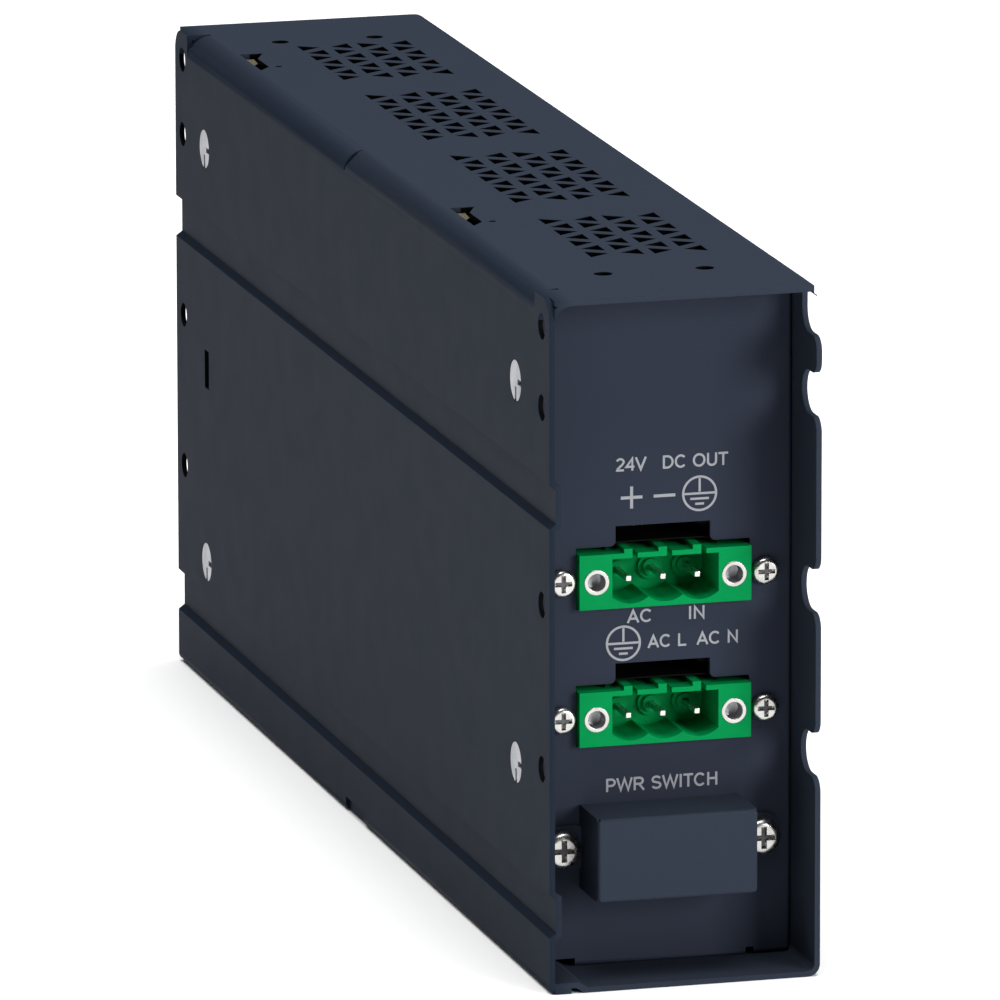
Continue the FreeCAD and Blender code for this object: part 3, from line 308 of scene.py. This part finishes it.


# The housing's paint also carries painted shade on the left wall and on the cut edges of its openings.
SLATE = powder_coat("slate_paint", hex_colour("2a303b"), hex_colour("323945"), CAD_BOX)
PANEL = powder_coat("panel_paint", hex_colour("2a2f3b"), hex_colour("323745"))
# Near-black paint for the painted shadow strips in the wall's channels.
CREASE_SHADOW_PAINT = powder_coat("crease_shade", hex_colour("090b0e"), hex_colour("0d0f13"))
GREEN = moulded("header_green", hex_colour("008546"), hex_colour("007038"), 0.5, specular=0.03)
BLACK = moulded("black_moulding", hex_colour("050506"), hex_colour("08090a"), 0.6, specular=0.05)
NICKEL = plated("nickel_plate", hex_colour("c4c3c0"), hex_colour("9a9893"), 0.24)
SATIN = plated("satin_zinc", hex_colour("b2b3b8"), hex_colour("7e8086"), 0.45, scale=500.0, metallic=0.55)
SHADE = moulded("recess_shade", hex_colour("5e5f62"), hex_colour("4a4b4e"), 0.6, specular=0.2)
BORE = plated("bore_steel", hex_colour("b4b4b6"), hex_colour("8c8c90"), 0.45)
DULL = moulded("dull_chromate", hex_colour("5a5546"), hex_colour("474335"), 0.6, specular=0.1)
TIN = plated("tin_plate", hex_colour("dcdad4"), hex_colour("b6b3aa"), 0.28)
ZINC = plated("zinc_passivate", hex_colour("b5b199"), hex_colour("8f8a70"), 0.4, (1, 0.1, 1), 500.0, 0.25)
BRASS = plated("turned_brass", hex_colour("c9a45c"), hex_colour("9c7c3e"), 0.24)
ANODISED = moulded("black_anodised", hex_colour("121316"), hex_colour("1b1c20"), 0.42, 900.0)
BOARD = laminate("board_laminate", hex_colour("0d4a2a"), hex_colour("155c38"), hex_colour("2a7a4a"))
CARD = laminate("card_laminate", hex_colour("040405"), hex_colour("060607"), hex_colour("09090a"))
FERRITE = moulded("ferrite_block", hex_colour("25262a"), hex_colour("36373b"), 0.6, 900.0)
TAPE = layered("winding_tape", hex_colour("d8b332"), hex_colour("a58420"), (900, 1, 1), 0.32)
CAN = moulded("can_sleeve", hex_colour("171b26"), hex_colour("0f1219"), 0.3)
COPPER = layered("enamelled_copper", hex_colour("b4643a"), hex_colour("7c3c1e"), (1, 900, 900), 0.3, 0.6)
YELLOW = moulded("capacitor_box", hex_colour("c9a52c"), hex_colour("b38f20"), 0.34)
FILM = moulded("insulating_sheet", hex_colour("d9d6c6"), hex_colour("c9c5b2"), 0.42)
GLASS = clear_glass("fuse_glass")
INK = printed("legend_ink")

FINISHES = {
    "housing": SLATE, "switch_guard": SLATE, "front_panel": PANEL, "rear_panel": PANEL,
    "dc_output_header": GREEN, "ac_input_header": GREEN, "switch_body": BLACK, "rocker": BLACK,
    "board_tray": ZINC, "main_board": BOARD, "dc_header_card": CARD, "ac_header_card": CARD,
    "board_standoffs": BRASS, "earth_stud": BRASS, "insulating_film": FILM,
    "transformer_core": FERRITE, "transformer_winding": TAPE, "bulk_capacitor": CAN,
    "output_capacitors": CAN, "interference_capacitor": YELLOW, "mains_choke": COPPER,
    "output_choke": COPPER, "primary_heatsink": ANODISED, "secondary_heatsink": ANODISED,
    "power_transistors": BLACK, "bridge_rectifier": BLACK, "mains_fuse": GLASS,
    "side_screws": SATIN, "dc_header_pins": TIN, "ac_header_pins": TIN, "switch_terminals": TIN,
    "fuse_clips": TIN,
}
PAINT_EDGE, FINE_EDGE = 0.00016, 0.0001


def dress_nodes():
    """Give each CAD node its finish and a fine broken edge."""
    for name, item in NODES.items():
        finish = FINISHES.get(name, NICKEL)
        item.data.materials.clear()
        item.data.materials.append(finish)
        weld = item.modifiers.new("weld", "WELD")
        weld.merge_threshold = 1e-6
        edge = item.modifiers.new("edge", "BEVEL")
        edge.width = PAINT_EDGE if finish in (SLATE, PANEL) else FINE_EDGE
        edge.segments = 2
        edge.limit_method = "ANGLE"
        edge.angle_limit = math.radians(40)
        edge.harden_normals = True


# ---------------------------------------------------------------- pieces

def add_mesh(name, build, material, body="case"):
    """A piece from a function that fills a bmesh, riding on a body."""
    mesh = bpy.data.meshes.new(name)
    made = bmesh.new()
    build(made)
    made.to_mesh(mesh)
    made.free()
    piece = bpy.data.objects.new(name, mesh)
    bpy.context.scene.collection.objects.link(piece)
    mesh.materials.append(material)
    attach(piece, body)
    return piece


def middle(node_name):
    """The middle of a CAD node's box."""
    low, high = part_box(node_name)
    return (low + high) / 2


# The ink's thickness in metres, and the width of a letter's stroke as a share of its height.
INK_THICK = 0.00004
STROKE = 0.165


def sweep(points, stroke):
    """The two edges of a ribbon of even width along a line of points, with mitred corners."""
    edges = ([], [])
    last = len(points) - 1
    for k, point in enumerate(points):
        here = Vector(point)
        into = (here - Vector(points[k - 1])).normalized() if k else None
        out = (Vector(points[k + 1]) - here).normalized() if k < last else None
        into, out = into or out, out or into
        mean = (into + out).normalized()
        side = Vector((-mean.y, mean.x)) * stroke / 2 / max(mean.dot(into), 0.4)
        for edge, sign in zip(edges, (1, -1)):
            edge.append(tuple(here + side * sign))
    return edges


def arc(cx, cy, rx, ry, start, end, steps):
    """Points on part of an ellipse, from one angle to another in degrees."""
    angles = [math.radians(start + (end - start) * k / steps) for k in range(steps + 1)]
    return [(cx + rx * math.cos(a), cy + ry * math.sin(a)) for a in angles]


# Plain upright capitals and figures on a field one unit high: the advance, then each stroke's points.
GLYPHS = {
    "A": (0.74, [[(0.06, 0.0), (0.37, 0.93), (0.68, 0.0)], [(0.19, 0.31), (0.55, 0.31)]]),
    "C": (0.78, [arc(0.4, 0.5, 0.31, 0.435, 42, 318, 20)]),
    "D": (0.78, [[(0.13, 0.0), (0.13, 1.0)],
                 [(0.13, 0.93)] + arc(0.34, 0.5, 0.33, 0.43, 90, -90, 14) + [(0.13, 0.07)]]),
    "H": (0.76, [[(0.13, 0.0), (0.13, 1.0)], [(0.63, 0.0), (0.63, 1.0)], [(0.13, 0.53), (0.63, 0.53)]]),
    "I": (0.3, [[(0.15, 0.0), (0.15, 1.0)]]),
    "L": (0.62, [[(0.13, 1.0), (0.13, 0.07), (0.58, 0.07)]]),
    "N": (0.76, [[(0.13, 0.0), (0.13, 0.92), (0.63, 0.08), (0.63, 1.0)]]),
    "O": (0.84, [arc(0.42, 0.5, 0.33, 0.435, 90, 450, 28)]),
    "P": (0.7, [[(0.13, 0.0), (0.13, 0.93)] + arc(0.38, 0.69, 0.22, 0.24, 90, -90, 12) + [(0.13, 0.45)]]),
    "R": (0.78, [[(0.13, 0.0), (0.13, 0.93)] + arc(0.42, 0.7, 0.21, 0.23, 90, -90, 12)
                 + [(0.13, 0.47)], [(0.4, 0.46), (0.7, 0.0)]]),
    "S": (0.7, [arc(0.35, 0.71, 0.235, 0.22, 22, 225, 12) + arc(0.35, 0.28, 0.25, 0.215, 60, -160, 14)]),
    "T": (0.64, [[(0.02, 0.93), (0.62, 0.93)], [(0.32, 0.0), (0.32, 0.9)]]),
    "U": (0.76, [[(0.13, 1.0), (0.13, 0.36)] + arc(0.38, 0.33, 0.25, 0.265, 180, 360, 12)
                 + [(0.63, 0.36), (0.63, 1.0)]]),
    "V": (0.7, [[(0.05, 1.0), (0.35, 0.07), (0.65, 1.0)]]),
    "W": (1.0, [[(0.05, 1.0), (0.27, 0.08), (0.5, 0.92), (0.73, 0.08), (0.95, 1.0)]]),
    "2": (0.58, [arc(0.28, 0.71, 0.2, 0.22, 165, -20, 10)
                 + [(0.4, 0.5), (0.12, 0.18), (0.09, 0.07), (0.5, 0.07)]]),
    "4": (0.58, [[(0.42, 0.0), (0.42, 0.93), (0.06, 0.3), (0.55, 0.3)]]),
    " ": (0.34, []),
}


def lettering(name, text, left, right, level, high):
    """Printed capitals whose ink fills a width on the front panel, with their middle at a level."""
    lines, start = [], 0.0
    for letter in text:
        advance, strokes = GLYPHS[letter]
        lines += [[(start + x, y) for x, y in line] for line in strokes]
        start += advance
    stroke = STROKE * high
    xs = [x for line in lines for x, y in line]
    squeeze = (right - left - stroke) / (max(xs) - min(xs))
    shapes = []
    for line in lines:
        points = [(left + stroke / 2 + (x - min(xs)) * squeeze, level + (y - 0.5) * high)
                  for x, y in line]
        near, far = sweep(points, stroke)
        for k in range(len(points) - 1):
            shapes.append([near[k], far[k], far[k + 1], near[k + 1]])
    artwork(name, shapes)


def finish_print(name, mesh):
    """Give flat artwork on the panel's plane the thickness of ink."""
    for face in mesh.polygons:
        face.use_smooth = False
    mesh.materials.clear()
    mesh.materials.append(INK)
    piece = bpy.data.objects.new(name, mesh)
    bpy.context.scene.collection.objects.link(piece)
    thick = piece.modifiers.new("ink", "SOLIDIFY")
    thick.thickness = INK_THICK
    thick.offset = 0
    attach(piece, "case")


def artwork(name, shapes):
    """Flat artwork made of closed outlines in X and Z on the panel's plane."""
    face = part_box("front_panel")[0].y
    mesh = bpy.data.meshes.new(name)
    made = bmesh.new()
    for k, outline in enumerate(shapes):
        depth = face - INK_THICK * (1 + 0.01 * (k % 9))
        made.faces.new([made.verts.new((x, depth, z)) for x, z in outline])
    made.to_mesh(mesh)
    made.free()
    finish_print(name, mesh)


def bar(x, z, wide, high):
    """One outline of a rectangle about its middle."""
    return [(x - wide / 2, z - high / 2), (x + wide / 2, z - high / 2),
            (x + wide / 2, z + high / 2), (x - wide / 2, z + high / 2)]


def hoop(x, z, outer, inner, steps=48):
    """The quads of a flat ring."""
    quads = []
    for k in range(steps):
        a, b = (2 * math.pi * (k + n) / steps for n in (0, 1))
        quads.append([(x + r * math.cos(t), z + r * math.sin(t))
                      for r, t in ((inner, a), (outer, a), (outer, b), (inner, b))])
    return quads


def plus(x, z, reach, stroke):
    """One outline of a plus sign."""
    half = stroke / 2
    return [(x + a, z + b) for a, b in (
        (-half, -reach), (half, -reach), (half, -half), (reach, -half), (reach, half), (half, half),
        (half, reach), (-half, reach), (-half, half), (-reach, half), (-reach, -half), (-half, -half))]


def earth_mark(name, x, z, radius):
    """The protective-earth symbol: a stem on the longest of three bars, in a ring."""
    stroke = 0.125 * radius
    inner = radius - stroke
    shapes = hoop(x, z, radius, inner)
    shapes.append(bar(x, z + (inner + stroke / 2) / 2, stroke, inner - stroke))
    for k, share in enumerate((1.75, 1.06, 0.5)):
        shapes.append(bar(x, z - 0.29 * k * radius, share * radius, stroke))
    artwork(name, shapes)


# Heights in mm of the capitals on the upper rows, beside the input poles and over the switch guard.
CAPITAL, POLE_CAPITAL, SWITCH_CAPITAL = 1.9, 1.85, 1.93
EARTH_RADIUS = 2.6
SIGN_STROKE = 0.44


def make_legends():
    """Generic functional legends, set out in mm from the middles of the headers and the guard."""
    dc, ac, guard = middle("dc_output_header"), middle("ac_input_header"), middle("switch_guard")
    x = dc.x

    def words(name, text, left, right, level, capital):
        lettering(name, text, x + left * MM, x + right * MM, level, capital * MM)

    top, row = dc.z + 16.25 * MM, dc.z + 11.4 * MM
    words("legend_volts", "24V", -6.95, -2.4, top, CAPITAL)
    words("legend_dc_out", "DC OUT", -0.05, 9.75, top, CAPITAL)
    artwork("legend_plus", [plus(x - 4.65 * MM, row, 1.6 * MM, SIGN_STROKE * MM)])
    artwork("legend_minus", [bar(x + 0.2 * MM, row, 3.2 * MM, SIGN_STROKE * MM)])
    earth_mark("legend_dc_earth", x + 5.4 * MM, row, EARTH_RADIUS * MM)
    top, row = ac.z + 14.1 * MM, ac.z + 10.25 * MM
    words("legend_ac", "AC", -5.36, -1.7, top, CAPITAL)
    words("legend_in", "IN", 3.85, 6.15, top, CAPITAL)
    earth_mark("legend_ac_earth", x - 5.85 * MM, row, EARTH_RADIUS * MM)
    words("legend_line", "AC L", -2.3, 3.6, row, POLE_CAPITAL)
    words("legend_neutral", "AC N", 4.95, 11.1, row, POLE_CAPITAL)
    words("legend_switch", "PWR SWITCH", -8.4, 8.1, guard.z + 8.6 * MM, SWITCH_CAPITAL)


def lathe(made, centre, profile, steps=40):
    """Revolve a profile of (radius, depth) points about a line along Y through a centre."""
    rows = []
    for radius, depth in profile:
        rows.append([made.verts.new((centre.x + radius * math.cos(2 * math.pi * k / steps), centre.y + depth,
                                     centre.z + radius * math.sin(2 * math.pi * k / steps)))
                     for k in range(steps)])
    for near, far in zip(rows, rows[1:]):
        for k in range(steps):
            made.faces.new((near[k], near[(k + 1) % steps], far[(k + 1) % steps], far[k]))
    made.faces.new(rows[-1])


# The outside radius in mm of a flange nut.
NUT_ROUND = 1.85


def make_flange_threads():
    """The thread inside each flange nut, closed by a dished end."""
    turns, pitch, crest, root = 6, 0.4 * MM, 1.18 * MM, 1.24 * MM
    profile = [(root, 0.1 * MM)]
    for k in range(turns):
        profile += [(crest, (0.3 + 0.4 * k) * MM), (root, 0.1 * MM + pitch * (k + 1))]
    profile += [(0.9 * MM, profile[-1][1] + 0.1 * MM), (0.2 * MM, profile[-1][1] + 0.16 * MM)]
    for name in ("dc_header_flange_nuts", "ac_header_flange_nuts"):
        low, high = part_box(name)
        reach = NUT_ROUND * MM
        places = [Vector((x, low.y, (low.z + high.z) / 2)) for x in (low.x + reach, high.x - reach)]

        def build(made, places=places):
            for place in places:
                lathe(made, place, profile)
        add_mesh(name.replace("flange_nuts", "threads"), build, BORE)


def loft(made, rows):
    """A sheet of quads over rows of points that have the same number of points."""
    for one, two in zip(rows, rows[1:]):
        for k in range(len(one) - 1):
            made.faces.new((one[k], one[k + 1], two[k + 1], two[k]))


def thicken(piece, name, thick_mm):
    """Give a flat piece the thickness of a sheet; returns the modifier."""
    thick = piece.modifiers.new(name, "SOLIDIFY")
    thick.thickness = thick_mm * MM
    return thick


# Each header with its card and, in mm, how far its first pin stands from the header's middle.
SHROUDS = (("dc_output_header", "dc_header_card", -1.4), ("ac_input_header", "ac_header_card", 0.9))
# A shroud's section in mm from the middle of the header's top, and where it starts behind the panel.
SHROUD_SECTION = ((-8.2, -0.6), (-8.0, 0.1), (-7.6, 0.35), (-3.0, 0.42), (0, 0.44), (3.0, 0.42), (7.6, 0.35),
                  (8.0, 0.1), (8.2, -0.6))
SHROUD_START, SHROUD_END, SHROUD_BEND, SHROUD_SHEET = 1.1, 0.3, 3, 0.2
# The two pins of a card in mm: each one's step along the card and its height.
CARD_PINS = ((0.0, 0.95), (1.25, 1.25))


def make_shrouds():
    """A bent black sheet over the back of each header, which darkens its top behind the panel as painted shade,
    and two bright pins on the card behind.
    """
    for name, card, shift in SHROUDS:
        low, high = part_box(name)
        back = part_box(card)[0].y
        x, top = (low.x + high.x) / 2, high.z
        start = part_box("front_panel")[0].y + SHROUD_START * MM

        def sheet(made, x=x, top=top, start=start, back=back):
            bend = SHROUD_BEND * MM
            loft(made, [[made.verts.new((x + a * MM, y, top + b * MM)) for a, b in SHROUD_SECTION]
                        for y in (start, start + bend, back - bend, back - SHROUD_END * MM)])
        thicken(add_mesh(name.replace("header", "shade_shroud"), sheet, BLACK), "sheet", SHROUD_SHEET).offset = 1

        def posts(made, x=x, top=top, back=back, shift=shift):
            for step, high_mm in CARD_PINS:
                centre = Vector((x + (shift + step) * MM, back - 0.5 * MM, top + 0.7 * MM))
                rod = bmesh.ops.create_cone(made, cap_ends=True, segments=10, radius1=0.13 * MM,
                                            radius2=0.09 * MM, depth=high_mm * MM)
                bmesh.ops.translate(made, verts=rod["verts"], vec=centre)
        add_mesh(name.replace("header", "card_pins"), posts, TIN)


# For each set of screws: the reach and the half width in mm of the arms of a recess's painted-shade cross, and
# the screws' axis.
RECESSES = {"header_screws": (0.95, 0.2, "y"), "switch_guard_screws": (1.25, 0.26, "y"),
            "side_screws": (1.2, 0.26, "x")}
# How deep in mm the painted-shade cross lies below the face of the head, for screws along each axis.
RECESS_DEPTH = {"x": 0.14, "y": 0.4}


def make_recess_shades():
    """Painted shade on the floor of each driver recess: a thin dark cross let into the screw's head."""
    for name, (reach, half, axis) in RECESSES.items():
        made = bmesh.new()
        made.from_mesh(NODES[name].data)
        centres = island_centres(made)
        made.free()
        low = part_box(name)[0]

        def build(made, centres=centres, reach=reach, half=half, axis=axis, low=low):
            depth = RECESS_DEPTH[axis] * MM
            outline = plus(0, 0, reach * MM, 2 * half * MM)
            for centre in centres:
                if axis == "y":
                    points = [(centre.x + a, low.y + depth, centre.z + b) for a, b in outline]
                else:
                    points = [(low.x + depth, centre.y + a, centre.z + b) for a, b in outline]
                made.faces.new([made.verts.new(point) for point in points])
        thicken(add_mesh(name.replace("screws", "recess_shadows"), build, SHADE), "plate", 0.04)


def island_centres(made):
    """The middle of every separate solid of a mesh."""
    bmesh.ops.remove_doubles(made, verts=made.verts, dist=1e-6)
    left, centres = set(made.verts), []
    while left:
        stack = [left.pop()]
        island = [stack[0]]
        while stack:
            for edge in stack.pop().link_edges:
                for vert in edge.verts:
                    if vert in left:
                        left.remove(vert)
                        stack.append(vert)
                        island.append(vert)
        spans = [[getattr(v.co, axis) for v in island] for axis in "xyz"]
        centres.append(Vector([(min(span) + max(span)) / 2 for span in spans]))
    return sorted(centres, key=lambda c: (round(c.x, 5), round(c.y, 5), round(c.z, 5)))


# The liner, a black sheet that stands in for the shade inside the case, in mm: its depth below the lid, its
# section from the left wall, and its sheet's thickness.
LINER_DROP = 4.0
LINER_SECTION = ((12.2, -3.0), (12.3, -0.6), (12.9, -0.1), (20.0, 0.0), (31.0, 0.0), (37.2, -0.1),
                 (37.8, -0.6), (37.9, -3.0))
LINER_SHEET = 0.25


def make_vent_shade_sheet():
    """Painted shade: a matt black sheet, bent down at its long sides, under the lid's vents, that darkens the
    inside seen through them.
    """
    low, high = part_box("housing")
    top = high.z - LINER_DROP * MM

    def build(made):
        loft(made, [[made.verts.new((low.x + a * MM, y, top + b * MM)) for a, b in LINER_SECTION]
                    for y in (low.y + 24 * MM, low.y + 80 * MM, high.y - 60 * MM, high.y - 12 * MM)])
    thicken(add_mesh("vent_shade_sheet", build, BLACK), "sheet", LINER_SHEET)


# Each tab's finish and outline in mm: from the left wall, from the front, and down from the top.
WINDOW_TABS = {"tongue": (DULL, ((5.0, 68.3, 0.92), (6.25, 68.3, 0.92), (6.05, 64.0, 1.08), (4.75, 62.4, 1.2),
                                 (4.4, 62.4, 1.2), (4.6, 65.0, 1.05))),
               "lip": (PANEL, ((3.2, 68.6, 0.95), (5.02, 68.6, 0.95), (4.5, 63.8, 1.25), (4.3, 61.4, 1.5),
                               (3.2, 61.4, 1.5)))}
# How far in mm each window lies behind the front one, and the tabs' thickness.
WINDOWS = (("front", 0.0), ("rear", 121.6))
TAB_SHEET = 0.1


def make_window_tabs():
    """Under each window of the lid, a bare tapered tongue beside a painted lip."""
    low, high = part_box("housing")
    for window, shift in WINDOWS:
        for part, (finish, points) in WINDOW_TABS.items():
            def build(made, points=points, shift=shift):
                made.faces.new([made.verts.new((low.x + x * MM, low.y + (y + shift) * MM, high.z - drop * MM))
                                for x, y, drop in points])
            thicken(add_mesh(f"window_{part}_{window}", build, finish), "sheet", TAB_SHEET)


# The depth in mm of the wall's channels; then each painted crease shadow's name, level and width.
CHANNEL_DEPTH = 0.95
CREASE_SHADOWS = (("crease_shadow_upper_foot", 68.42, 0.2), ("crease_shadow_lower_foot", 9.02, 0.2),
           ("crease_shadow_upper_head", 73.28, 0.12), ("crease_shadow_lower_head", 13.88, 0.12))


def make_crease_shadows():
    """Painted shadow: dark strips along the creases of the two pressed channels of the left wall."""
    low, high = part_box("housing")
    for name, level, width in CREASE_SHADOWS:
        z = low.z + level * MM
        depth = CHANNEL_DEPTH * MM

        def build(made, z=z, width=width, depth=depth):
            x = low.x + depth - 0.02 * MM
            rows = [[made.verts.new((x, y, z + side * width * MM / 2)) for side in (-1, 1)]
                    for y in (low.y + 0.2 * MM, (low.y + high.y) / 2, high.y - 0.4 * MM)]
            for one, two in zip(rows, rows[1:]):
                made.faces.new((one[0], one[1], two[1], two[0]))
        add_mesh(name, build, CREASE_SHADOW_PAINT)


# ---------------------------------------------------------------- stage

# Each lamp's name, place, aim, power in watts and side in metres; and the strength of the room's light.
LAMPS = (("overhead", (-0.1, -0.1, 2.2), (0, 0, 0), 84, 2.0),
         ("front", (1.05, -1.6, 0.5), (0, 0, 0.05), 32, 0.8),
         ("left", (-1.8, 0.5, 0.5), (0, 0, 0.05), 2, 0.9))
ROOM_LIGHT = 0.07
# The camera's angles in degrees, its lens in mm, and its distance, aim and shift in metres.
TURN, DROP, ROLL = 15.52, 12.76, -0.083
LENS, SENSOR, DISTANCE = 505.6, 36, 2.0787
AIM, SHIFT_RIGHT, SHIFT_DOWN = (0, -0.0066, 0.05), 0.00054, 0.00099


def make_floor():
    """A wide floor under the foot of the case."""
    mesh = bpy.data.meshes.new("floor")
    made = bmesh.new()
    bmesh.ops.create_grid(made, x_segments=1, y_segments=1, size=6)
    made.to_mesh(mesh)
    made.free()
    floor = bpy.data.objects.new("floor", mesh)
    floor.location.z = CAD_BOX[0].z
    bpy.context.scene.collection.objects.link(floor)
    mesh.materials.append(floor_paint("floor_paint"))


def add_light(name, place, aim, power, size):
    """A square lamp turned towards a point."""
    data = bpy.data.lights.new(name, "AREA")
    data.energy = power
    data.size = size
    light = bpy.data.objects.new(name, data)
    light.location = place
    light.rotation_euler = (Vector(aim) - Vector(place)).to_track_quat("-Z", "Y").to_euler()
    bpy.context.scene.collection.objects.link(light)


def make_lights():
    """A broad light overhead, a key light front right, a faint one at the left, and a weak even room."""
    world = bpy.data.worlds.new("studio")
    world.use_nodes = True
    background = world.node_tree.nodes["Background"]
    background.inputs["Color"].default_value = (1, 1, 1, 1)
    background.inputs["Strength"].default_value = ROOM_LIGHT
    bpy.context.scene.world = world
    bpy.context.scene.view_settings.view_transform = "Standard"
    for lamp in LAMPS:
        add_light(*lamp)


def make_camera():
    """A long lens, to the left of the connector end and a little above it."""
    turn, drop, roll = math.radians(TURN), math.radians(DROP), math.radians(ROLL)
    forward = Vector((math.sin(turn) * math.cos(drop), math.cos(turn) * math.cos(drop), -math.sin(drop)))
    right = forward.cross(Vector((0, 0, 1))).normalized()
    up = right.cross(forward)
    aim = Vector(AIM) + right * SHIFT_RIGHT - up * SHIFT_DOWN
    data = bpy.data.cameras.new("camera")
    data.lens = LENS
    data.sensor_width = SENSOR
    data.clip_end = 20
    camera = bpy.data.objects.new("camera", data)
    look = Matrix((right, up, -forward)).transposed().to_4x4()
    camera.matrix_world = Matrix.Translation(aim - forward * DISTANCE) @ look @ Matrix.Rotation(roll, 4, "Z")
    bpy.context.scene.collection.objects.link(camera)
    bpy.context.scene.camera = camera


dress_nodes()
make_legends()
make_flange_threads()
make_shrouds()
make_recess_shades()
make_vent_shade_sheet()
make_window_tabs()
make_crease_shadows()
make_floor()
make_lights()
make_camera()
